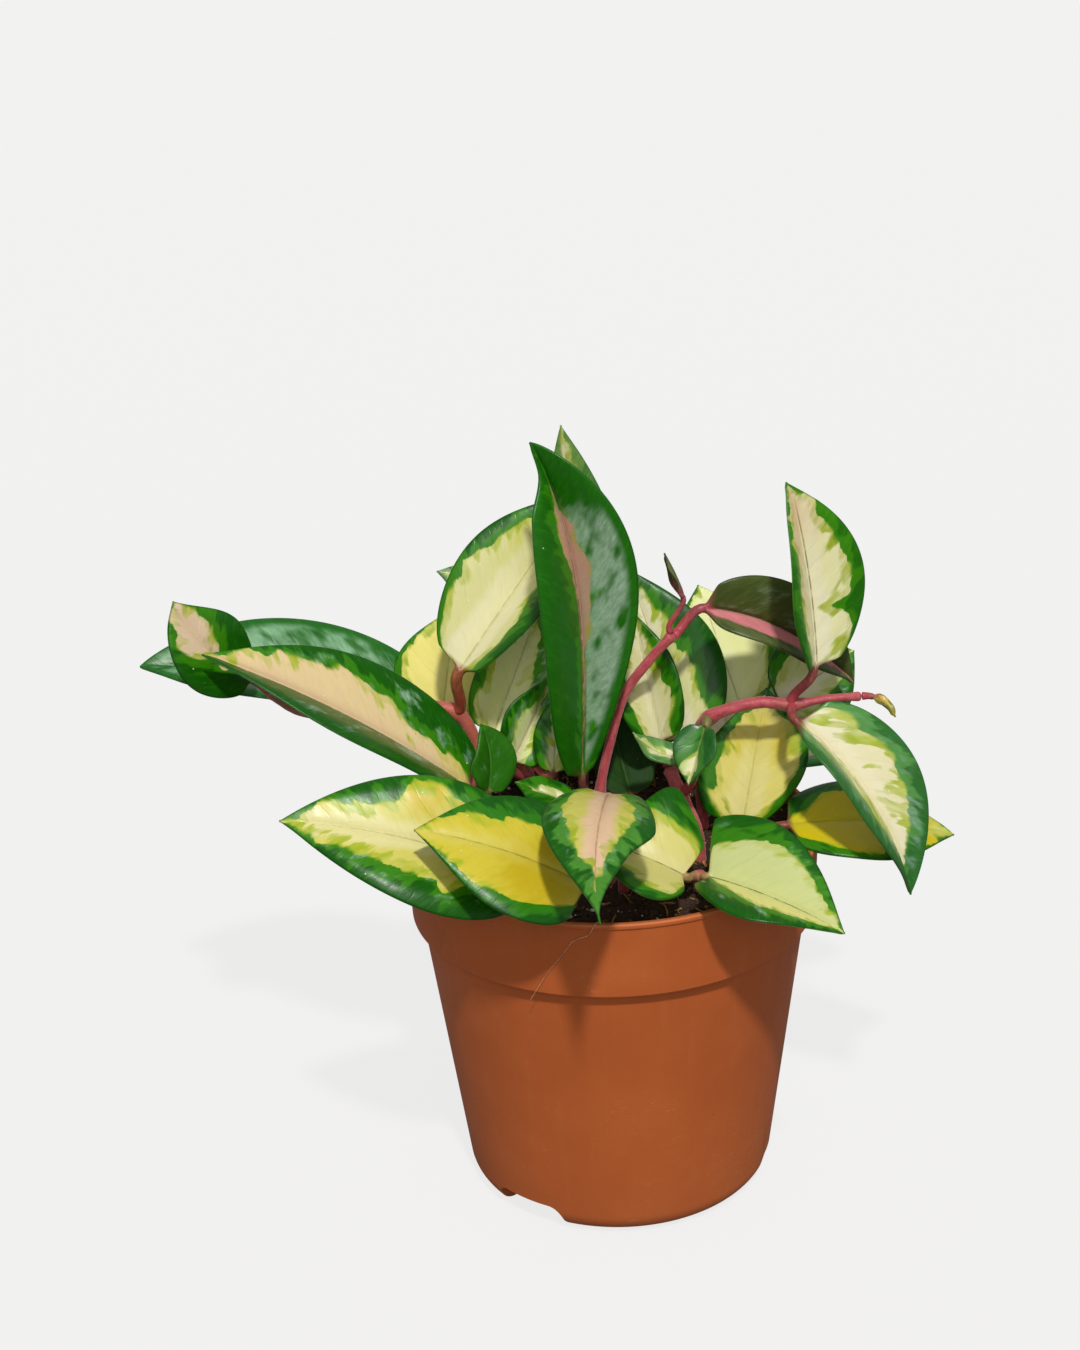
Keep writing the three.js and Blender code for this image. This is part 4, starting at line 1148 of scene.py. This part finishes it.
def arc(centre, radius, start, end, steps):
    angles = np.radians(np.linspace(start, end, steps + 1))
    return [(centre[0] + radius * math.cos(a), centre[1] + radius * math.sin(a)) for a in angles]


def foot_arc(radius, rounding, floor):
    return arc((radius - rounding, floor + rounding), rounding, -90, FOOT_SWEEP - 90, 14)


def spaced(a, b, steps):
    return [(mix(a[0], b[0], t), mix(a[1], b[1], t)) for t in np.linspace(0, 1, steps + 1)[1:-1]]


def outer_profile():
    foot = foot_arc(BASE_RADIUS, FOOT_ROUNDING, 0)
    wall_top = (WALL_TOP_RADIUS, STEP_BOTTOM - STEP_HEIGHT)
    collar = (LIP_RADIUS - LIP_OVERHANG, POT_HEIGHT - LIP_HEIGHT)
    return [
        (0, 0), (BASE_RADIUS / 2, 0), *foot, *spaced(foot[-1], wall_top, 6),
        (wall_top[0] - 0.02, wall_top[1] - 0.4), wall_top,
        *arc((STEP_TOP_RADIUS - 0.45, STEP_BOTTOM + 0.45), 0.45, -70, 0, 5),
        *spaced((STEP_TOP_RADIUS, STEP_BOTTOM + 0.45), collar, 4), (collar[0], collar[1] - 0.15),
        *arc((LIP_RADIUS - 0.3, collar[1] + 0.35), 0.3, -70, 0, 4),
        *arc((LIP_RADIUS - 0.55, POT_HEIGHT - 0.55), 0.55, 0, 90, 6),
    ]


def inner_profile():
    step = STEP_BOTTOM + STEP_HEIGHT
    slope = (LIP_RADIUS - LIP_OVERHANG - STEP_TOP_RADIUS) / (COLLAR_HEIGHT - LIP_HEIGHT)
    top = STEP_TOP_RADIUS - POT_WALL + (POT_HEIGHT - step) * slope
    return [
        *arc((top + 0.4, POT_HEIGHT - 0.4), 0.4, 90, 180, 4),
        (STEP_TOP_RADIUS - POT_WALL, step),
        (WALL_TOP_RADIUS - POT_WALL, STEP_BOTTOM - STEP_HEIGHT),
        *reversed(foot_arc(BASE_RADIUS - POT_WALL, FOOT_ROUNDING - POT_WALL, POT_WALL)),
        (0, POT_WALL),
    ]


def lathe(name, profile, segments):
    """A closed body of revolution from a profile that starts and ends on the axis."""
    mesh = bmesh.new()
    turns = [2 * math.pi * i / segments for i in range(segments)]
    rows = []
    for radius, height in profile:
        if radius < 1e-6:
            rows.append([mesh.verts.new((0, 0, height * MM))] * segments)
        else:
            rows.append([
                mesh.verts.new((radius * MM * math.cos(a), radius * MM * math.sin(a), height * MM))
                for a in turns
            ])
    for low, high in zip(rows, rows[1:]):
        for i in range(segments):
            j = (i + 1) % segments
            corners = list(dict.fromkeys((low[i], low[j], high[j], high[i])))
            mesh.faces.new(corners)
    return to_object(name, mesh)


def to_object(name, mesh):
    bmesh.ops.recalc_face_normals(mesh, faces=mesh.faces)
    data = bpy.data.meshes.new(name)
    mesh.to_mesh(data)
    mesh.free()
    piece = bpy.data.objects.new(name, data)
    bpy.context.collection.objects.link(piece)
    return piece


def channel_bar(name, angle, start, end, width, height, rounding):
    """A round-shouldered bar that runs outward from start to end, as wide and high as given."""
    half = width / 2
    outline = [(-half, -1), (half, -1), *arc((half - rounding, height - rounding), rounding, 0, 90, 8),
               *arc((rounding - half, height - rounding), rounding, 90, 180, 8)]
    mesh = bmesh.new()
    turn = Matrix.Rotation(angle, 4, "Z")
    ends = [
        [mesh.verts.new(turn @ Vector((x * MM, y * MM, z * MM))) for y, z in outline] for x in (start, end)
    ]
    mesh.faces.new(ends[0][::-1])
    mesh.faces.new(ends[1])
    for i in range(len(outline)):
        j = (i + 1) % len(outline)
        mesh.faces.new((ends[0][i], ends[0][j], ends[1][j], ends[1][i]))
    return to_object(name, mesh)


def apply_boolean(piece, tool, operation):
    modifier = piece.modifiers.new("cut", "BOOLEAN")
    modifier.operation = operation
    modifier.solver = "EXACT"
    modifier.object = tool
    with bpy.context.temp_override(object=piece, active_object=piece):
        bpy.ops.object.modifier_apply(modifier=modifier.name)
    bpy.data.objects.remove(tool)


def smooth_by_angle(piece, angle):
    piece.data.polygons.foreach_set("use_smooth", [True] * len(piece.data.polygons))
    mesh = bmesh.new()
    mesh.from_mesh(piece.data)
    for edge in mesh.edges:
        edge.smooth = edge.calc_face_angle(0) < angle
    mesh.to_mesh(piece.data)
    mesh.free()


def pot_material():
    shader = Shader("pot_surface")
    blend, ease, times, add = shader.mix, shader.ease, shader.times, shader.add
    minus = shader.minus
    place = shader.position()
    x, y, z = shader.split(place)
    angle = shader.math("ARCTAN2", y, x)
    radius = shader.math("SQRT", add(times(x, x), times(y, y)))
    wide = shader.noise(place, 0.035, 3.0, 0.55)
    fine = shader.noise(place, 1.8, 3.0, 0.6)
    grain = shader.noise(place, 6.0, 2.0, 0.5)
    colour = blend(ease(wide, 0.3, 0.7), (184, 92, 42), (191, 98, 46))
    colour = blend(ease(fine, 0.5, 0.8, 0.0, 0.22), colour, (170, 82, 38))
    # Faint drawing marks that run up the wall, dust near the foot, and a paler worn lip
    streaks = shader.noise(shader.vector(times(angle, 16), times(z, 0.02), 0.0), 1.0, 3.0, 0.6)
    colour = blend(ease(streaks, 0.52, 0.75, 0.0, 0.14), colour, (200, 114, 66))
    dust = times(ease(z, 26, 0), ease(fine, 0.35, 0.7, 0.2, 1.0))
    colour = blend(times(dust, 0.24), colour, (162, 98, 60))
    worn = times(ease(z, 109.2, 109.9), ease(radius, 59.0, 59.6))
    colour = blend(times(worn, 0.45), colour, (214, 132, 88))
    # Soil that clings to the inside above the surface
    inner = times(ease(radius, 58.9, 58.5), ease(z, 95, 97))
    smear = ease(shader.noise(place, 0.4, 3.0, 0.65), 0.42, 0.62)
    stain = times(times(inner, smear), ease(z, 108.5, 103.5))
    colour = blend(times(stain, 0.75), colour, (60, 42, 32))
    # Specks of dirt, pale lime spots and faint scratches
    spots = shader.cells(shader.vector(times(angle, 9.0), times(z, 0.16), times(radius, 0.02)))
    chosen = ease(shader.split(spots[1])[0], 0.86, 0.87)
    speck = times(ease(spots[0], 0.045, 0.025), chosen)
    colour = blend(times(speck, 0.8), colour, (78, 50, 38))
    pale = times(ease(spots[0], 0.04, 0.02), ease(shader.split(spots[1])[1], 0.9, 0.91))
    colour = blend(times(pale, 0.6), colour, (232, 170, 138))
    scratches = shader.noise(shader.vector(times(angle, 5.0), times(z, 0.7), 3.0), 1.0, 2.0, 0.4, 0.4)
    scratch = shader.math("ABSOLUTE", minus(scratches, 0.5))
    scratch = times(ease(scratch, 0.006, 0.0), ease(wide, 0.52, 0.6))
    colour = blend(times(scratch, 0.3), colour, (236, 170, 134))
    shader.set("Base Color", colour)
    rough = ease(fine, 0.3, 0.7, 0.44, 0.58)
    rough = add(rough, times(dust, 0.2))
    rough = add(rough, times(stain, 0.4))
    shader.set("Roughness", rough)
    shader.set("Specular IOR Level", 0.25)
    relief = add(times(grain, 0.3), add(times(streaks, 0.3), times(fine, 0.2)))
    relief = add(relief, add(times(stain, 0.8), times(speck, 0.6)))
    shader.set("Normal", shader.bump(relief, 0.12 * MM, 0.45))
    return shader.material


def add_pot():
    piece = lathe("nursery_pot", [*outer_profile(), *inner_profile()], POT_SEGMENTS)
    angles = [FIRST_CHANNEL_ANGLE + i * 2 * math.pi / CHANNEL_COUNT for i in range(CHANNEL_COUNT)]
    for angle in angles:
        housing = channel_bar(
            "housing", angle, CHANNEL_START - POT_WALL, LIP_RADIUS, CHANNEL_WIDTH + 2 * POT_WALL,
            CHANNEL_HEIGHT + POT_WALL, CHANNEL_ROUNDING + POT_WALL,
        )
        filled = lathe("filled", [*outer_profile(), (0, POT_HEIGHT)], POT_SEGMENTS)
        apply_boolean(housing, filled, "INTERSECT")
        apply_boolean(piece, housing, "UNION")
    for angle in angles:
        channel = channel_bar(
            "channel", angle, CHANNEL_START, LIP_RADIUS, CHANNEL_WIDTH, CHANNEL_HEIGHT, CHANNEL_ROUNDING,
        )
        apply_boolean(piece, channel, "DIFFERENCE")
        drain = lathe("drain", [(0, 5), (DRAIN_RADIUS, 5), (DRAIN_RADIUS, 13), (0, 13)], 40)
        drain.data.transform(Matrix.Translation((
            DRAIN_DISTANCE * math.cos(angle) * MM, DRAIN_DISTANCE * math.sin(angle) * MM, 0,
        )))
        apply_boolean(piece, drain, "DIFFERENCE")
    smooth_by_angle(piece, POT_SMOOTHING)
    piece.data.materials.append(pot_material())
    finish_piece(piece, "pot", "pot")


# Soil: fills the pot to below the lip, with a crumbled top, loose crumbs, perlite and fibres
SOIL_CRUMBLE = 0.8
SOIL_GAP = 0.3
SOIL_TOP_RINGS = 100
SOIL_TOP_SEGMENTS = 300
SOIL_TOP_DEPTH = 3.0
CRUMB_COUNT = 2000
FIBRE_COUNT = 80
CRUMB_SEED = 17


def crumble(x, y):
    slow = np.sin(0.19 * x + 1.3) * np.cos(0.16 * y - 0.4)
    quick = np.sin(0.53 * x - 0.7 * y) + np.cos(0.61 * x + 0.47 * y + 2)
    return SOIL_CRUMBLE * (slow + 0.4 * quick)


def lumps(x, y, rng_phase):
    """Finer crumbling in three sizes, all of it below half a millimetre."""
    fine = np.zeros_like(x)
    for size, height in ((0.9, 0.22), (1.7, 0.16), (3.1, 0.1)):
        a, b, c = rng_phase[int(size * 10) % 7], rng_phase[int(size * 13) % 7], rng_phase[int(size * 17) % 7]
        fine += height * np.sin(size * x + a + 1.4 * np.sin(0.6 * size * y + b))
        fine += height * np.cos(size * 1.1 * y + c + 1.3 * np.sin(0.7 * size * x + a))
    return fine


PHASES = np.random.default_rng(CRUMB_SEED).uniform(0, 2 * math.pi, 7)


def soil_height(x, y):
    x, y = np.asarray(x, float), np.asarray(y, float)
    height = SOIL_LEVEL + crumble(x, y) + lumps(x, y, PHASES)
    for stem in STEMS.values():
        sx, sy, _ = stem["points"][0]
        distance = np.hypot(x - sx, y - sy)
        height = height - 0.7 * np.exp(-(((distance - stem["radius"] - 0.5) / 1.1) ** 2))
        height = height + 0.6 * np.exp(-(((distance - stem["radius"] - 3.4) / 1.8) ** 2))
    return height


def soil_material():
    shader = Shader("soil_surface")
    blend, ease, times, add = shader.mix, shader.ease, shader.times, shader.add
    place = shader.position()
    wide = shader.noise(place, 0.12, 3.0, 0.6)
    fine = shader.noise(place, 1.6, 4.0, 0.65)
    cells = shader.cells(place, 0.9)
    colour = blend(ease(fine, 0.3, 0.7), (38, 28, 22), (74, 54, 40))
    colour = blend(ease(wide, 0.45, 0.7, 0.0, 0.5), colour, (52, 40, 28))
    bits = ease(shader.split(cells[1])[0], 0.9, 0.92)
    bit = times(ease(cells[0], 0.42, 0.3), bits)
    colour = blend(times(bit, 0.75), colour, (134, 96, 52))
    shader.set("Base Color", colour)
    shader.set("Roughness", ease(fine, 0.3, 0.7, 0.8, 0.96))
    shader.set("Specular IOR Level", 0.25)
    relief = add(fine, times(cells[0], 0.6))
    shader.set("Normal", shader.bump(relief, 0.35 * MM, 0.9))
    return shader.material


def crumb_material():
    shader = Shader("crumb_surface")
    blend, ease = shader.mix, shader.ease
    kind, tone, _ = shader.split(shader.attribute("crumb")[1])
    place = shader.position()
    fine = shader.noise(place, 2.4, 3.0, 0.6)
    peat = blend(tone, (34, 25, 20), (96, 68, 46))
    bark = blend(tone, (122, 82, 40), (186, 140, 72))
    perlite = blend(tone, (176, 168, 156), (232, 226, 214))
    colour = blend(ease(kind, 0.4, 0.6), peat, bark)
    colour = blend(ease(kind, 1.4, 1.6), colour, perlite)
    colour = blend(ease(fine, 0.45, 0.75, 0.0, 0.45), colour, (60, 44, 32))
    shader.set("Base Color", colour)
    shader.set("Roughness", ease(fine, 0.3, 0.7, 0.75, 0.95))
    shader.set("Specular IOR Level", 0.25)
    shader.set("Normal", shader.bump(fine, 0.15 * MM, 0.8))
    return shader.material


def soil_faces(piece):
    """A piece's points in millimetres and its faces."""
    points = np.array([v.co[:] for v in piece.data.vertices]) / MM
    return points.tolist(), [tuple(face.vertices) for face in piece.data.polygons]


def add_soil():
    step = STEP_BOTTOM + STEP_HEIGHT
    wall = POT_WALL + SOIL_GAP
    slope = (LIP_RADIUS - LIP_OVERHANG - STEP_TOP_RADIUS) / (COLLAR_HEIGHT - LIP_HEIGHT)
    rim = STEP_TOP_RADIUS - wall + (SOIL_LEVEL - step) * slope
    lower = SOIL_LEVEL - SOIL_TOP_DEPTH
    body = lathe("soil_body", [
        (0, wall), *foot_arc(BASE_RADIUS - wall, FOOT_ROUNDING - POT_WALL, wall),
        (WALL_TOP_RADIUS - wall, STEP_BOTTOM - STEP_HEIGHT), (STEP_TOP_RADIUS - wall, step),
        (rim - 0.1, lower + 1), (0, lower + 1),
    ], 120)
    for i in range(CHANNEL_COUNT):
        angle = FIRST_CHANNEL_ANGLE + i * 2 * math.pi / CHANNEL_COUNT
        housing = channel_bar(
            "housing", angle, CHANNEL_START - wall, LIP_RADIUS, CHANNEL_WIDTH + 2 * wall,
            CHANNEL_HEIGHT + wall, CHANNEL_ROUNDING + wall,
        )
        apply_boolean(body, housing, "DIFFERENCE")
    points, faces = soil_faces(body)
    bpy.data.objects.remove(body)
    # The crumbled top, as a slab of its own that sinks into the body
    turns = np.linspace(0, 2 * math.pi, SOIL_TOP_SEGMENTS, endpoint=False)
    radii = rim * (np.arange(1, SOIL_TOP_RINGS + 1) / SOIL_TOP_RINGS) ** 0.8
    first = len(points)
    for r in radii:
        x, y = r * np.cos(turns), r * np.sin(turns)
        points.extend(np.stack([x, y, soil_height(x, y)], 1).tolist())
    points.extend([rim * math.cos(a), rim * math.sin(a), lower] for a in turns)
    for i in range(SOIL_TOP_RINGS):
        for j in range(SOIL_TOP_SEGMENTS):
            a, b = (first + i * SOIL_TOP_SEGMENTS + k % SOIL_TOP_SEGMENTS for k in (j, j + 1))
            faces.append((a, a + SOIL_TOP_SEGMENTS, b + SOIL_TOP_SEGMENTS, b))
    middle, under = len(points), len(points) + 1
    points.extend([[0, 0, float(soil_height(0, 0))], [0, 0, lower]])
    last = first + SOIL_TOP_RINGS * SOIL_TOP_SEGMENTS
    for j in range(SOIL_TOP_SEGMENTS):
        k = (j + 1) % SOIL_TOP_SEGMENTS
        faces.append((middle, first + j, first + k))
        faces.append((under, last + k, last + j))
    piece = add_mesh("peat", points, faces, soil_material())
    finish_piece(piece, "soil", "soil")
    add_crumbs(rim)


def add_crumbs(rim):
    rng = np.random.default_rng(CRUMB_SEED)
    template = bmesh.new()
    bmesh.ops.create_icosphere(template, subdivisions=2, radius=1)
    sphere = np.array([v.co[:] for v in template.verts])
    sphere_faces = [[v.index for v in face.verts] for face in template.faces]
    template.free()
    roots = np.array([stem["points"][0][:2] for stem in STEMS.values()])
    points, faces, marks = [], [], []
    while len(points) < CRUMB_COUNT * len(sphere):
        r, a = rim * math.sqrt(rng.uniform()), rng.uniform(0, 2 * math.pi)
        x, y = r * math.cos(a), r * math.sin(a)
        kind = rng.choice([0, 1, 2], p=[0.72, 0.18, 0.1])
        size = min(1.5, 0.42 * math.exp(rng.normal(0.1, 0.42))) * (0.9 if kind == 2 else 1)
        if r > rim - size - 0.3 or np.hypot(*(roots - (x, y)).T).min() < 2.2 + size:
            continue
        if kind == 1:
            stretch = np.array([1.7, 0.8, 0.45]) * rng.uniform(0.7, 1.2, 3)
        else:
            stretch = rng.uniform(0.55, 1.25, 3)
        knobs = 1 + 0.22 * np.sin(sphere @ rng.normal(0, 3.2, (3, 3)) + rng.uniform(0, 6, 3)).sum(1) / 1.7
        shape = sphere * knobs[:, None] * stretch * size
        turn = np.array(Matrix.Rotation(rng.uniform(0, 6.3), 3, Vector(rng.normal(0, 1, 3)).normalized()))
        shape = shape @ turn.T
        shape[:, 2] *= 0.85
        z = float(soil_height(x, y)) + size * rng.uniform(0.0, 0.35)
        first = len(points)
        points.extend((shape + (x, y, z)).tolist())
        faces.extend([tuple(first + i for i in face) for face in sphere_faces])
        marks.extend([(kind, rng.uniform(), 0)] * len(sphere))
    for _ in range(FIBRE_COUNT):
        r, a = (rim - 6) * math.sqrt(rng.uniform()), rng.uniform(0, 2 * math.pi)
        x, y, heading = r * math.cos(a), r * math.sin(a), rng.uniform(0, 6.3)
        length, bend = rng.uniform(3, 9), rng.uniform(-0.35, 0.35)
        centres = []
        for k in range(6):
            centres.append(np.array([x, y, float(soil_height(x, y)) + 0.15 + 0.4 * math.sin(k * 0.9)]))
            heading += bend
            x, y = x + length / 6 * math.cos(heading), y + length / 6 * math.sin(heading)
        if math.hypot(x, y) > rim - 1:
            continue
        tone = rng.uniform()
        radius = rng.uniform(0.14, 0.3)
        ring_points, _ = tube(lambda t: catmull_rom(centres, t), 11, lambda t: radius, 6)
        first = len(points)
        points.extend(np.array(ring_points).tolist())
        faces.extend([tuple(first + i for i in face) for face in ring_faces(11, 6)])
        marks.extend([(1, tone, 0)] * len(ring_points))
    piece = add_mesh("peat_crumbs", points, faces, crumb_material(), (("crumb", "FLOAT_VECTOR", marks),))
    finish_piece(piece, "soil", "soil")


# A dry root thread that comes out of the soil and hangs down over the lip and the collar.
# Each point is (angle in degrees, height, distance from the pot's axis).
THREAD = [
    (-93, 104.5, 55.6), (-93.6, 107.6, 57.2), (-94.2, 109.9, 58.2), (-94.8, 110.2, 59.3),
    (-95.5, 109.2, 60.2), (-96.6, 107.1, 60), (-99, 105.8, 59.8), (-101.1, 104.4, 59.7),
    (-103.4, 100.9, 59.5), (-105.7, 97.6, 59.4), (-108.1, 94.1, 59.3), (-110.6, 89.6, 59.4),
    (-113.4, 84.6, 59.6),
]


def add_thread():
    shader = Shader("thread_surface")
    fine = shader.noise(shader.position(), 1.2, 3.0, 0.6)
    shader.set("Base Color", shader.mix(shader.ease(fine, 0.3, 0.7), (176, 122, 84), (216, 168, 128)))
    shader.set("Roughness", shader.ease(fine, 0.3, 0.7, 0.6, 0.8))
    centres = [
        np.array([r * math.cos(math.radians(a)), r * math.sin(math.radians(a)), z]) for a, z, r in THREAD
    ]
    points, _ = tube(lambda t: catmull_rom(centres, t), 97, lambda t: 0.17 - 0.08 * t, 8)
    finish_piece(add_mesh("root_thread", points, ring_faces(97, 8), shader.material), "soil")


add_pot()
add_soil()
add_thread()
add_stems()
add_leaves()
